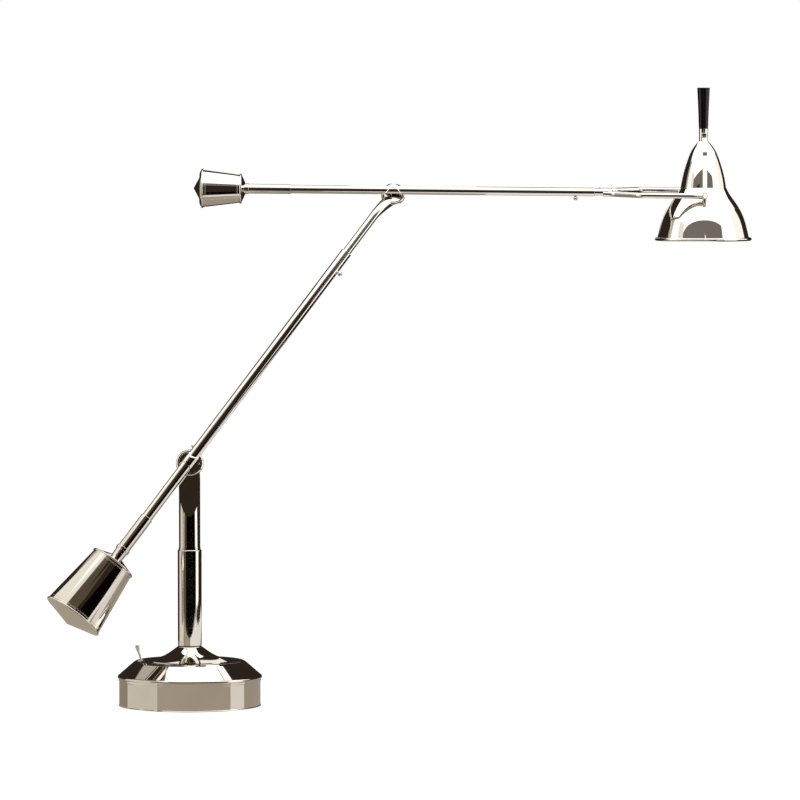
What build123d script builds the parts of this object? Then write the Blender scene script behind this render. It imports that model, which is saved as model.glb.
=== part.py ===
"""Counterweight balance desk lamp: two balanced arms on a heavy round base, with a bell shade in a fork."""
import os
from math import acos, asin, cos, pi, radians, sin, sqrt, tan

from build123d import *

os.makedirs("parts", exist_ok=True)

# All sizes are in millimetres and degrees. The origin is the centre of the pad's underside, +Z is up, +X runs
# along the upper arm to the shade, and -Y is the side of the joint faces.

# fits
runGap = 0.05        # radial clearance of a shaft that turns in a hole
seatGap = 0.02       # radial clearance of a piece that is fixed in or on another
faceGap = 0.05       # between two flat faces that slide on each other

# base
drumRadius = 70.8
drumLip = 0.5
shellWall = 1.6
shellLift = 0.4      # the drum's lower edge stands this far above the table
padThick = 1.2
padRadius = drumRadius - 2.4
plateThick = 2.0
plateRadius = drumRadius - 2.0
bandBottom = 25.2
bandRadius = drumRadius + 0.6
beadBottom = 27.6
beadTop = 31.3
rimRadius = drumRadius + 1.6
bevelTop = 44.0
bevelTopRadius = drumRadius - 14.4
plateauHeight = 45.4
plateauRadius = drumRadius - 17.0
ballastGap = 0.6
rodRadius = 5.0      # hollow tie rod
rodBore = 3.2
ballastRecess = 14.0
ballastRecessTop = 12.0
tieNutHeight = 5.5
tieNutFlats = 16.0
channelWidth = 10.0
channelTop = 15.0
screwCircle = 40.0
screwRadius = 2.0
screwHead = 3.5
screwLength = 12.0
inletHeight = 9.5
inletBore = 3.0
inletRadius = 4.4
inletFlange = 5.6

# foot and post
footRadius = 42.0
footEdge = 0.5
footTop = plateauHeight + 14.4
footTopRadius = 12.6
washerThick = 0.8
washerRadius = 11.4
sleeveRadius = 12.0
sleeveBore = 9.0
sleeveTop = 156.8
sleeveRound = 1.2
plugHeight = 12.0
spigotRadius = sleeveBore - 1.5
bushLength = 44.0
retainerHeight = 2.0
postRadius = 10.7
postFlare = 0.4
postBore = 4.0
postBoreTop = 204.0   # below the facet
postEnd = 250.0

# toggle switch
switchX = -48.2
switchY = -14.0
switchLean = 16.0
leverLength = 15.8
leverRoot = 0.9
leverTip = 2.2
leverBall = 1.6
bushingRadius = 2.5
bushingRise = 2.1
switchNutRadius = 3.3
switchNutHeight = 1.5
switchBodyWidth = 8.0
switchBodyLength = 12.0
switchBodyHeight = 18.0
switchCollar = 1.6        # thickness of the collar between the body and the shell
switchCollarRadius = 2.85
socketGap = 0.25          # round the lever's ball

# arm joints
jointTilt = 18.0          # the joint faces lean back this much
elbowHeight = 245.6       # where the lower arm crosses the post's axis
lowerAngle = 54.3         # of the lower arm, in the plane of its joint
lowerReach = 349.1        # from one joint's crossing to the other's
upperSlope = 0.57
upperReach = 314.1        # from the upper joint's crossing to the shade's pivot
turntableThick = 1.2
facetDrop = 1.0           # the post's facet lies this far below the face of the cup

lowerTubeRadius = 5.55
lowerTubeStart = -117.5
lowerTubeEnd = 268.0
lowerRise = lowerTubeRadius + 0.35    # tube's axis above the face of the joint
lowerFaceRadius = 11.1
lowerCupRadius = lowerFaceRadius + 2.8
lowerCupDepth = 3.4
lowerDome = 11.6
lowerSpindle = 3.0
lowerBossRadius = 7.5
lowerBossEnd = 11.0
lowerNutHeight = 4.0
lowerNutFlats = 10.0
lowerSleeveRadius = 6.4
lowerSleeveTop = -72.0
lowerRingRadius = 7.3
lowerRingLow = -114.2
lowerRingHigh = -110.6
lowerNeck = -122.5

lowerWeightTop = -129.4   # plane of the rim near the joint
lowerWeightLow = -196.0   # plane of the far rim
lowerWeightTopRim = 23.8
lowerWeightLowRim = 31.6
lowerWeightApex = -206.0

knuckleRadius = 4.3
knuckleInsert = 40.0
knuckleBend = 34.0        # before the upper crossing
neckRadius = 6.5
neckDrop = 5.8
neckStraight = 11.5
bossRadius = 6.85
upperTubeRadius = 4.3
upperTubeStart = -147.0
upperTubeEnd = 203.6
upperRise = upperTubeRadius + 1.8
upperFaceRadius = 10.1
upperCupRadius = upperFaceRadius + 2.0
upperCupDepth = 3.2
upperDome = 11.4
upperSpindle = 2.4
upperBossEnd = 10.0
upperNutHeight = 2.6
upperNutFlats = 7.0
upperSleeveRadius = 4.95
upperSleeveTop = -103.6
upperRingRadius = 5.6
upperRingLow = -149.4
upperRingHigh = -146.6
upperWeightTop = -154.5
upperWeightLow = -193.3
upperWeightTopRim = 15.4
upperWeightLowRim = 20.2
upperWeightApex = -202.2

rimWidth = 2.0            # of the bead at each rim of a weight
rimProud = 1.0            # the bead stands this far off the body
grooveWidth = 0.8
grooveDepth = 0.35
studLength = 42.0

# fork
stemRadius = 3.55
stemInsert = 36.0
forkRoot = 215.4
rootRadius = 4.4
rootLength = 9.0
prongRadius = 2.8
prongSpread = 35.5        # half the distance between the prongs' axes
prongRise = 2.35          # the rear prong lies this much above the arm's axis, the front one below
prongRootRise = 1.6
prongRootSide = 2.6
prongBendOut = 222.0
prongBendIn = 251.0
stemPinPlace = 209.1
stemPinRadius = 0.9
collarRadius = 3.25
collarLength = 4.0
eyeRadius = 3.0
eyeOuter = 3.3            # the eye stands out this far past its prong's axis
eyeSetback = 6.5

# stirrup and shade, measured from the pivot
strapWidth = 4.6
strapThick = 1.7
strapInner = 30.1
strapTop = 61.4
strapCorner = 27.0
strapEnd = 2.9
swingGap = 0.3            # between the strap and the eyes it swings past
pivotScrewRadius = 1.5
pivotHeadRadius = 2.75
pivotHeadLength = 1.6
handleTop = 106.8
handleBottom = 65.2
handleTopRadius = 6.4
handleBottomRadius = 4.7
handleDish = 0.8
handleDishRadius = 4.9
ferruleRadius = 4.55
studRadius = 2.4
shadeStudTop = 92.0
domeNutFlats = 7.0
domeNutHeight = 3.5
domeTop = 52.3
domeTopRadius = 5.2
domeBottom = 5.6
domeBottomRadius = 23.0
domeWall = 0.9
bellTopRadius = domeBottomRadius + 0.8
bellLow = -46.4
bellLowRadius = 46.6
bellWall = 0.9
bellBead = 1.7
bellBeadRadius = bellLowRadius + 0.8
holderRadius = 11.5
holderTop = 32.0
holderLength = 34.0
holderBore = 7.4
holderPlateRadius = bellTopRadius - 1.8
holderPlateThick = 1.5
bellFlangeRadius = bellTopRadius - 4.0
bellFlangeThick = 2.3
bulbRadius = 17.5
bulbCentre = -24.0
bulbNeck = 7.2
bulbWall = 0.8
bulbCapRadius = holderBore - 0.5
bulbCapBottom = -6.5
bulbCapTop = 12.0


def save(name, shape):
    """Write one node; several separate solids go into one compound."""
    solids = shape.solids()
    whole = solids[0] if len(solids) == 1 else Compound(children=solids)
    export_step(whole, f"parts/{name}.step")


def bar(radius, low, high):
    """Round bar along Z."""
    return Pos(0, 0, low) * Cylinder(radius, high - low, align=(Align.CENTER, Align.CENTER, Align.MIN))


def ring(outer, inner, low, high):
    """Round bar along Z with a bore."""
    return bar(outer, low, high) - bar(inner, low - 1, high + 1)


def hexNut(flats, bore, low, high):
    """Hexagonal nut along Z, by its width across flats."""
    blank = extrude(RegularPolygon(flats / 2, 6, major_radius=False), amount=high - low)
    return Pos(0, 0, low) * blank - bar(bore, low - 1, high + 1)


def lathe(*edges):
    """Solid of revolution about Z of a closed outline of edges, in radius and height."""
    return revolve(Plane.XZ * make_face(list(edges)), Axis.Z)


def turned(*points):
    """Solid of revolution of a closed outline of straight lines, as (radius, height) points."""
    return lathe(Polyline(*points, close=True))


def located(frame, shape):
    return frame.location * shape


def saved(name, frame, shape):
    save(name, located(frame, shape))


# frames: in a joint's frame X runs along the arm and Z is the normal of the face;
# in an arm's frame Z runs along the arm
tilt = radians(jointTilt)
lean = Vector(0, sin(tilt), cos(tilt))
lowerNormal = Vector(0, -cos(tilt), sin(tilt))
lowerAim = Vector(1, 0, 0) * cos(radians(lowerAngle)) + lean * sin(radians(lowerAngle))
elbow = Vector(0, 0, elbowHeight)
wrist = elbow + lowerAim * lowerReach
upperAim = Vector(cos(radians(upperSlope)), 0, -sin(radians(upperSlope)))
# the upper joint's face holds the upper arm, and leans from the lower arm by the same tilt
across = (lowerAim - upperAim * lowerAim.dot(upperAim)).normalized()
aside = upperAim.cross(across)
faceAngle = acos(sin(tilt) / sqrt(1 - lowerAim.dot(upperAim) ** 2))
upperNormal = across * cos(faceAngle) + aside * sin(faceAngle)
if upperNormal.Y > 0:
    upperNormal = across * cos(faceAngle) - aside * sin(faceAngle)
pivot = wrist + upperAim * upperReach

lowerJoint = Plane(origin=elbow - lowerNormal * lowerRise, x_dir=lowerAim, z_dir=lowerNormal)
lowerArm = Plane(origin=elbow, x_dir=lowerNormal, z_dir=lowerAim)
upperJoint = Plane(origin=wrist - upperNormal * upperRise, x_dir=upperAim, z_dir=upperNormal)
upperArm = Plane(origin=wrist, x_dir=upperNormal, z_dir=upperAim)
fork = Plane(origin=wrist, x_dir=(0, 1, 0), z_dir=upperAim)
forkUp = fork.y_dir
pivotTilt = asin(prongRise / prongSpread)
pivotAim = Vector(0, 1, 0) * cos(pivotTilt) + forkUp * sin(pivotTilt)
pivotLine = Plane(origin=pivot, x_dir=upperAim, z_dir=pivotAim)
shade = Plane(origin=pivot, x_dir=(1, 0, 0), z_dir=(0, 0, 1))


def baseShell():
    bevelFoot = (rimRadius - 1.4, beadTop)
    outer = lathe(
        Polyline((0, plateauHeight), (0, shellLift), (drumRadius + drumLip, shellLift),
                 (drumRadius + drumLip, shellLift + drumLip), (drumRadius, shellLift + 2 * drumLip),
                 (drumRadius, bandBottom), (bandRadius, bandBottom + drumLip), (bandRadius, beadBottom)),
        ThreePointArc((bandRadius, beadBottom), (rimRadius, (beadBottom + beadTop) / 2), bevelFoot),
        Line(bevelFoot, (bevelTopRadius, bevelTop)),
        ThreePointArc((bevelTopRadius, bevelTop), (bevelTopRadius - 1.1, bevelTop + 0.95),
                      (plateauRadius, plateauHeight)),
        Line((plateauRadius, plateauHeight), (0, plateauHeight)),
    )
    inner = turned((0, 0), (drumRadius - shellWall, 0), (drumRadius - shellWall, beadBottom),
                   (bevelTopRadius - shellWall, plateauHeight - shellWall - 1),
                   (plateauRadius - shellWall, plateauHeight - shellWall), (0, plateauHeight - shellWall))
    shell = outer - inner - bar(rodRadius + seatGap, 0, 60)
    shell -= Pos(switchX, switchY, 0) * bar(bushingRadius + seatGap, 0, 60)
    inletHole = Pos(0, drumRadius, inletHeight) * Rot(90, 0, 0) * Cylinder(inletRadius + seatGap, 10)
    return shell - inletHole


def baseBallast():
    side = drumRadius - shellWall - ballastGap
    low = padThick + plateThick
    top = plateauHeight - shellWall - ballastGap
    ballast = turned((0, low), (side, low), (side, beadBottom - ballastGap),
                     (bevelTopRadius - shellWall - ballastGap, top - 1), (0, top))
    ballast -= bar(rodRadius + seatGap, 0, 60)
    ballast -= bar(ballastRecess, 0, ballastRecessTop)
    pocket = switchBodyLength + 3
    onFloor = (Align.CENTER, Align.CENTER, Align.MIN)
    fromLeft = (Align.MIN, Align.CENTER, Align.MIN)
    ballast -= Pos(switchX, switchY, channelTop) * Box(pocket, pocket, 60, align=onFloor)
    ballast -= Pos(switchX - pocket / 2, switchY, 0) * Box(-switchX, pocket, channelTop + 1, align=fromLeft)
    ballast -= Box(channelWidth, drumRadius, channelTop, align=(Align.CENTER, Align.MIN, Align.MIN))
    for x, y in screwPlaces():
        ballast -= Pos(x, y, 0) * bar(screwRadius + seatGap, 0, padThick + screwLength + 1)
    return ballast


def screwPlaces():
    angles = [2 * pi * (i + 0.5) / 3 for i in range(3)]
    return [(screwCircle * sin(angle), -screwCircle * cos(angle)) for angle in angles]


def basePlate():
    plate = ring(plateRadius, rodRadius + 2, padThick, padThick + plateThick)
    for x, y in screwPlaces():
        plate -= Pos(x, y, 0) * bar(screwHead + seatGap, 0, 10)
    return plate


def baseScrews():
    head = bar(screwHead, padThick, padThick + plateThick) - Box(1, 2 * screwHead, 2 * (padThick + 0.7))
    screw = head + bar(screwRadius, padThick + plateThick, padThick + screwLength)
    return Compound(children=[Pos(x, y, 0) * screw for x, y in screwPlaces()])


def cordInlet():
    back = drumRadius + 0.1
    barrel = ring(inletRadius, inletBore, -6, 0)
    flange = ring(inletFlange, inletBore, 0, 2.4)
    flange = fillet(flange.edges().group_by(Axis.Z)[-1].sort_by(SortBy.RADIUS)[-1], 1.2)
    return Pos(0, back, inletHeight) * Rot(-90, 0, 0) * (barrel + flange)


def postFoot():
    low = plateauHeight
    curve = Spline((footRadius, low + footEdge), (33.0, low + 2.4), (25.6, low + 5.2), (19.6, low + 8.8),
                   (15.2, low + 12.0), (footTopRadius, footTop - 0.6))
    top = (footTopRadius - 0.6, footTop)
    foot = lathe(curve, ThreePointArc(curve @ 1, (footTopRadius - 0.18, footTop - 0.18), top),
                 Polyline(top, (0, footTop), (0, low), (footRadius, low), (footRadius, low + footEdge)))
    return foot - bar(rodRadius + seatGap, 0, 90)


def postSleeve():
    low = footTop + washerThick
    sleeve = bar(sleeveRadius, low, sleeveTop)
    sleeve = fillet(sleeve.edges().group_by(Axis.Z)[-1], sleeveRound)
    return sleeve - bar(sleeveBore, low + plugHeight, sleeveTop + 1) - bar(rodRadius + seatGap, 0, sleeveTop)


def upperPost():
    low = sleeveTop + faceGap
    spigotLow = sleeveTop - bushLength - 2 * faceGap - retainerHeight
    post = turned((0, spigotLow), (spigotRadius, spigotLow), (spigotRadius, low),
                  (postRadius + postFlare, low), (postRadius, low + 3), (postRadius, postEnd), (0, postEnd))
    facet = lowerJoint.offset(-facetDrop)
    post -= located(facet, Box(200, 200, 200, align=(Align.CENTER, Align.CENTER, Align.MIN)))
    post += located(lowerJoint, bar(lowerBossRadius, -lowerBossEnd, -lowerCupDepth - 1))
    post -= located(lowerJoint, bar(lowerCupRadius + seatGap, -lowerCupDepth, 60))
    post -= located(lowerJoint, bar(lowerSpindle + runGap, -60, 60))
    return post - bar(postBore, 0, postBoreTop)


def jointCup(outer, face, depth, bore):
    """Round cup that holds the turntable, with a rounded rim."""
    rimTop = (face + seatGap + runGap, 0)
    side = (outer, -2.2)
    cup = lathe(
        Polyline(rimTop, (face + 0.5, 0)),
        ThreePointArc((face + 0.5, 0), (outer - 0.75, -0.65), side),
        Polyline(side, (outer, -depth), (0, -depth), (0, -turntableThick), (rimTop[0], -turntableThick),
                 rimTop),
    )
    return cup - bar(bore + runGap, -depth - 1, 1)


def saddle(face, dome, rise, tubeRadius, spindle, spindleEnd):
    """Turntable with a domed strip over it that the tube passes through, and a spindle under it."""
    onFloor = (Align.CENTER, Align.CENTER, Align.MIN)
    strip = Sphere(dome) & Box(4 * dome, 2 * tubeRadius + 1.9, 2 * dome, align=onFloor)
    strip &= bar(face, 0, 2 * dome)
    body = bar(face, -turntableThick + faceGap, 0) + strip + bar(spindle, -spindleEnd, 0)
    return body - Pos(0, 0, rise) * Rot(0, 90, 0) * Cylinder(tubeRadius + seatGap, 4 * dome)


def weightRim(radius, low):
    """Half-round bead round one end of a weight."""
    under = (radius - rimProud, low)
    over = (radius - rimProud, low + rimWidth)
    return lathe(Polyline(over, (0, over[1]), (0, low), under),
                 ThreePointArc(under, (radius, low + rimWidth / 2), over))


def weightBody(top, low, topRim, lowRim, bore):
    """Tapered body with a fine groove just inside each rim."""
    high = top - rimWidth / 2
    deep = low + rimWidth / 2
    body = turned((0, deep), (lowRim - rimProud, deep), (topRim - rimProud, high), (0, high))
    slope = (lowRim - topRim) / (top - low)
    for place in (top - rimWidth * 1.6, low + rimWidth * 1.6):
        edge = lowRim - rimProud - slope * (place - deep)
        body -= ring(edge + 2, edge - grooveDepth, place - grooveWidth / 2, place + grooveWidth / 2)
    return body - bar(bore + seatGap, deep - 1, high + 1)


def weightShoulder(top, topRim, neck, neckRadius, bore):
    """Cone from the rim near the joint up to the neck."""
    rim = weightRim(topRim, top - rimWidth / 2)
    cone = turned((0, top), (topRim - rimProud - 0.3, top + rimWidth / 2), (neckRadius, neck), (0, neck))
    return rim + cone - bar(bore + seatGap, top - 9, neck + 1)


def weightCap(low, lowRim, apex, shoulder):
    """Pointed cap with the far rim's bead; a shoulder above zero makes its edge full before the point."""
    rim = weightRim(lowRim, low - rimWidth / 2)
    start = (lowRim - rimProud - 0.3, low - rimWidth / 2)
    if shoulder:
        knee = (lowRim * 0.55, low - shoulder)
        middle = (lowRim * 0.85, low - shoulder * 0.72)
        cone = lathe(Spline(start, middle, knee), Polyline(knee, (0, apex), (0, low), (start[0], low), start))
    else:
        cone = turned(start, (0, apex), (0, low), (start[0], low))
    return rim + cone


def ballScrew(reach, ball, shank, foot):
    """Screw along X with a ball head: the shank starts at foot and the ball stands at reach."""
    pin = Rot(0, 90, 0) * bar(shank, foot, reach)
    return pin + Pos(reach + ball * 0.6, 0, 0) * Sphere(ball)


def knuckle():
    """Rod in the lower tube that bends and swells into the boss under the upper cup."""
    bendPoint = lowerReach - knuckleBend
    rod = located(lowerArm, bar(knuckleRadius, lowerTubeEnd - knuckleInsert, bendPoint))
    start = wrist - lowerAim * knuckleBend
    end = upperJoint.origin - upperNormal * neckDrop
    path = Bezier(start, start + lowerAim * neckStraight, end)
    side = lowerAim.cross(upperNormal).normalized()
    sections = []
    for share in (0, 0.3, 0.65, 1):
        radius = knuckleRadius + (neckRadius - knuckleRadius) * share ** 1.15
        sections.append(Plane(origin=path @ share, x_dir=side, z_dir=path % share) * Circle(radius))
    neck = loft(Sketch() + sections)
    boss = Pos(0, 0, -neckDrop) * Sphere(bossRadius) + bar(neckRadius - 1.2, -upperBossEnd, -neckDrop)
    piece = rod + neck + located(upperJoint, boss)
    piece -= located(upperJoint, bar(upperCupRadius + 20, -upperCupDepth, 60))
    piece -= located(upperJoint, bar(upperNutFlats / 2 + 1.4, -60, -upperBossEnd))
    return piece - located(upperJoint, bar(upperSpindle + runGap, -60, 60))


def prong(side):
    """One rod of the fork: side is 1 for the rear rod and -1 for the front one."""
    end = upperReach - eyeSetback
    points = [
        (side * prongRootSide, side * prongRootRise, forkRoot - rootLength * 0.3),
        (side * prongRootSide, side * prongRootRise, prongBendOut),
        (side * prongSpread, side * prongRise, prongBendIn),
        (side * prongSpread, side * prongRise, end),
    ]
    path = FilletPolyline(*points, radius=14)
    return sweep(Plane(origin=path @ 0, z_dir=path % 0) * Circle(prongRadius), path)


def forkEye(side):
    """Collar and eye at the end of one prong, with the hole for the pivot screw."""
    end = upperReach - eyeSetback
    collar = Pos(side * prongSpread, side * prongRise, 0) * bar(collarRadius, end, end + collarLength)
    collar = located(fork, collar)
    low = strapInner + strapThick + swingGap
    blank = bar(eyeRadius, low, prongSpread + eyeOuter)
    eye = blank - bar(pivotScrewRadius + runGap, low - 1, prongSpread + eyeOuter + 1)
    turn = Rot(0, 0, 0) if side > 0 else Rot(180, 0, 0)
    return collar - located(pivotLine, turn * blank) + located(pivotLine, turn * eye)


def stirrup():
    """Strap bent to a U over the shade, with a round eye on its crown and one at each end."""
    onFloor = (Align.CENTER, Align.CENTER, Align.MIN)
    outer = Pos(0, 0, -60) * Box(strapWidth, 2 * (strapInner + strapThick), strapTop + 60, align=onFloor)
    outer = fillet(outer.edges().filter_by(Axis.X).group_by(Axis.Z)[-1], strapCorner)
    hollow = Pos(0, 0, -61) * Box(2 * strapWidth, 2 * strapInner, strapTop - strapThick + 61, align=onFloor)
    hollow = fillet(hollow.edges().filter_by(Axis.X).group_by(Axis.Z)[-1], strapCorner - strapThick)
    strap = outer - hollow + bar(ferruleRadius, strapTop - strapThick, strapTop)
    strap -= bar(studRadius + seatGap, strapTop - 20, strapTop + 20)
    middle = strapInner + strapThick / 2
    for side in (-1, 1):
        drop = side * tan(pivotTilt) * middle
        cut = Box(3 * strapWidth, 6 * strapThick, 80, align=(Align.CENTER, Align.CENTER, Align.MAX))
        strap -= Pos(0, side * middle, drop) * cut
        strap += Pos(0, side * middle, drop) * Rot(90, 0, 0) * Cylinder(strapEnd, strapThick)
    hole = shade.location.inverse() * pivotLine.location * bar(pivotScrewRadius + seatGap, -60, 60)
    return strap - hole


def pivotScrew(side):
    """Screw through the prong's eye into the strap, with a domed head outside."""
    outerFace = prongSpread + eyeOuter + faceGap
    head = bar(pivotHeadRadius, outerFace, outerFace + pivotHeadLength)
    head = fillet(head.edges().group_by(Axis.Z)[-1], pivotHeadLength * 0.6)
    screw = bar(pivotScrewRadius, strapInner + 0.1, outerFace) + head
    return screw if side > 0 else Rot(180, 0, 0) * screw


def shadeDome():
    """Steep dome with an even wall, open below."""
    def skin(inset):
        points = [(domeBottomRadius, domeBottom), (21.6, 14.4), (19.4, 23.5), (15.8, 34.6), (10.1, 46.4)]
        top = (domeTopRadius - 1.2 * inset, domeTop - inset)
        curve = Spline(*[(r - inset, z) for r, z in points], top)
        return lathe(curve, Polyline(top, (0, top[1]), (0, domeBottom),
                                     (domeBottomRadius - inset, domeBottom)))

    shell = skin(0) - skin(domeWall)
    return shell - bar(studRadius + seatGap, domeBottom, domeTop + 5)


def shadeBell():
    """Flared bell with a flange that the dome stands on and a rolled rim."""
    flangeLow = domeBottom - bellFlangeThick
    outer = [(bellTopRadius, domeBottom - 1.6), (27.0, -1.6), (32.3, -9.0), (36.9, -16.3), (40.7, -24.3),
             (43.9, -34.7), (bellLowRadius, bellLow)]
    inner = [(r - bellWall, z - bellWall * 0.6) for r, z in outer[:-1]]
    inner.append((bellLowRadius - bellWall, bellLow))
    inner[0] = (bellTopRadius - bellWall, flangeLow)
    bell = lathe(Spline(*outer), Spline(*inner), Line(outer[-1], inner[-1]),
                 Polyline(outer[0], (bellTopRadius - 0.6, domeBottom), (bellFlangeRadius, domeBottom),
                          (bellFlangeRadius, flangeLow), inner[0]))
    return bell + Pos(0, 0, bellLow) * Torus(bellBeadRadius, bellBead)


def handle():
    """Tapered grip with a shallow dish in its top."""
    side = Spline((handleBottomRadius, handleBottom), (5.15, 79.0), (5.75, 93.0),
                  (handleTopRadius, handleTop - 0.6))
    top = (handleTopRadius - 0.5, handleTop)
    dish = (0, handleTop - handleDish)
    grip = lathe(side, ThreePointArc(side @ 1, (handleTopRadius - 0.12, handleTop - 0.15), top),
                 Line(top, (handleDishRadius, handleTop)),
                 TangentArc(dish, (handleDishRadius, handleTop), tangent=(1, 0)),
                 Polyline(dish, (0, handleBottom), (handleBottomRadius, handleBottom)))
    return grip - bar(studRadius + seatGap, 0, shadeStudTop)


def bulb():
    """Hollow globe with an open neck that ends at the metal cap."""
    outer = Pos(0, 0, bulbCentre) * Sphere(bulbRadius) + bar(bulbNeck, bulbCentre, bulbCapBottom)
    inner = Pos(0, 0, bulbCentre) * Sphere(bulbRadius - bulbWall)
    return outer - inner - bar(bulbNeck - bulbWall, bulbCentre, bulbCapBottom)


def lampHolder():
    low = holderTop - holderLength
    body = bar(holderRadius, low, holderTop)
    body = fillet(body.edges().group_by(Axis.Z)[-1], 2.0)
    body -= bar(holderBore, low - 1, bulbCapTop + 1)
    return body - bar(studRadius + seatGap, bulbCapTop + 6, holderTop + 1)


# base
save("base_shell", baseShell())
save("base_ballast", baseBallast())
save("base_plate", basePlate())
save("felt_pad", bar(padRadius, 0, padThick))
save("base_screws", baseScrews())
save("tie_rod", ring(rodRadius, rodBore, padThick + plateThick, footTop + washerThick + plugHeight))
save("tie_nut", hexNut(tieNutFlats, rodRadius + seatGap, ballastRecessTop - tieNutHeight, ballastRecessTop))
save("cord_inlet", cordInlet())
save("post_foot", postFoot())
save("foot_washer", ring(washerRadius, rodRadius + seatGap, footTop, footTop + washerThick))
save("post_sleeve", postSleeve())
save("post_bush", ring(sleeveBore - seatGap, spigotRadius + runGap, sleeveTop - bushLength, sleeveTop))

# toggle switch
switchPlace = Pos(switchX, switchY, plateauHeight)
leverPivot = Pos(switchX, switchY, plateauHeight + bushingRise - leverBall * 0.5)
blockTop = -shellWall - switchCollar
block = Pos(0, 0, blockTop - switchBodyHeight) * Box(
    switchBodyWidth, switchBodyLength, switchBodyHeight, align=(Align.CENTER, Align.CENTER, Align.MIN))
collar = bar(switchCollarRadius, blockTop, -shellWall - 0.4)
switchBody = switchPlace * (block + collar + bar(bushingRadius, blockTop, bushingRise))
switchBody -= leverPivot * bar(leverBall + socketGap, -1.6 * leverBall, 5)
save("switch_body", switchBody)
switchNut = hexNut(2 * switchNutRadius - 0.9, bushingRadius + seatGap, 0, switchNutHeight)
save("switch_nut", switchPlace * switchNut)
lever = Sphere(leverBall) + lathe(
    Polyline((0, leverLength), (0, 0), (leverRoot, 0), (leverRoot, leverBall)),
    Spline((leverRoot, leverBall), (1.25, leverLength * 0.5), (leverTip, leverLength - 1.4)),
    TangentArc((0, leverLength), (leverTip, leverLength - 1.4), tangent=(1, 0)))
save("switch_lever", leverPivot * Rot(0, -switchLean, 0) * lever)

# post
save("upper_post", upperPost())
retainerLow = sleeveTop - bushLength - faceGap - retainerHeight
retainer = ring(sleeveBore - 0.4, spigotRadius + seatGap, retainerLow, retainerLow + retainerHeight)
save("post_retainer", retainer)
saved("lower_cup", lowerJoint, jointCup(lowerCupRadius, lowerFaceRadius, lowerCupDepth, lowerSpindle))

# lower arm
lowerSpindleEnd = lowerBossEnd + 1 + lowerNutHeight
saved("lower_saddle", lowerJoint,
      saddle(lowerFaceRadius, lowerDome, lowerRise, lowerTubeRadius, lowerSpindle, lowerSpindleEnd))
saved("lower_pivot_washer", lowerJoint,
      ring(lowerNutFlats / 2 + 1, lowerSpindle + seatGap,
           -lowerBossEnd - 1 + faceGap / 2, -lowerBossEnd - faceGap))
saved("lower_pivot_nut", lowerJoint,
      hexNut(lowerNutFlats, lowerSpindle + seatGap, -lowerSpindleEnd + 0.2, -lowerBossEnd - 1))
faceScrew = Pos(4.0, -lowerTubeRadius - 2.65, 0.0) * bar(1.1, 0, 0.7)
saved("lower_face_screw", lowerJoint, fillet(faceScrew.edges().group_by(Axis.Z)[-1], 0.4))
lowerBore = knuckleRadius + runGap
saved("lower_arm_tube", lowerArm, ring(lowerTubeRadius, lowerBore, lowerTubeStart, lowerTubeEnd)
      - Pos(0, 0, lowerTubeEnd - 22.5) * Rot(0, 0, 82) * Rot(0, 90, 0) * bar(1.5 + seatGap, 0, 20))
lowerSleeve = bar(lowerSleeveRadius, lowerTubeStart, lowerSleeveTop)
lowerSleeve += bar(lowerRingRadius, lowerRingLow, lowerRingHigh)
lowerSleeve -= bar(lowerTubeRadius + seatGap, lowerTubeStart - 1, lowerSleeveTop + 1)
saved("lower_end_sleeve", lowerArm, lowerSleeve)
lowerStud = lowerBore - 0.3
saved("lower_weight_stud", lowerArm, bar(lowerStud, lowerWeightLow + 6, lowerWeightTop + studLength))
saved("lower_weight_shoulder", lowerArm,
      weightShoulder(lowerWeightTop, lowerWeightTopRim, lowerNeck, lowerSleeveRadius + 0.3, lowerStud)
      + ring(lowerSleeveRadius - 0.2, lowerStud + seatGap, lowerNeck - 1, lowerTubeStart))
saved("lower_weight", lowerArm,
      weightBody(lowerWeightTop, lowerWeightLow, lowerWeightTopRim, lowerWeightLowRim, lowerStud))
saved("lower_weight_cap", lowerArm, weightCap(lowerWeightLow, lowerWeightLowRim, lowerWeightApex, 0))
saved("arm_set_screw", lowerArm,
      Pos(0, 0, 14.5) * Rot(0, 0, -105) * ballScrew(lowerTubeRadius + 0.6, 1.5, 1.0, lowerTubeRadius + 0.05))
saved("rod_clamp_screw", lowerArm,
      Pos(0, 0, lowerTubeEnd - 22.5) * Rot(0, 0, 82)
      * ballScrew(lowerTubeRadius + 1.2, 2.4, 1.5, lowerBore + 0.05))

# knuckle
save("knuckle_rod", knuckle())
saved("upper_cup", upperJoint, jointCup(upperCupRadius, upperFaceRadius, upperCupDepth, upperSpindle))

# upper arm
upperSpindleEnd = upperBossEnd + 0.6 + upperNutHeight
saved("upper_saddle", upperJoint,
      saddle(upperFaceRadius, upperDome, upperRise, upperTubeRadius, upperSpindle, upperSpindleEnd))
saved("upper_pivot_washer", upperJoint,
      ring(upperNutFlats / 2 + 0.6, upperSpindle + seatGap,
           -upperBossEnd - 0.6 + faceGap / 2, -upperBossEnd - faceGap))
saved("upper_pivot_nut", upperJoint,
      hexNut(upperNutFlats, upperSpindle + seatGap, -upperSpindleEnd + 0.2, -upperBossEnd - 0.6))
upperBore = 3.3
clampPlace = upperTubeEnd - 18.8
saved("upper_arm_tube", upperArm, ring(upperTubeRadius, upperBore, upperTubeStart, upperTubeEnd)
      - Pos(0, 0, clampPlace) * Rot(0, 0, 130) * Rot(0, 90, 0) * bar(1.3 + seatGap, 0, 20))
upperSleeve = bar(upperSleeveRadius, upperRingLow, upperSleeveTop)
upperSleeve += bar(upperRingRadius, upperRingLow, upperRingHigh)
upperSleeve -= bar(upperTubeRadius + seatGap, upperRingLow - 1, upperSleeveTop + 1)
saved("upper_end_sleeve", upperArm, upperSleeve)
upperStud = upperBore - 0.1
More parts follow.
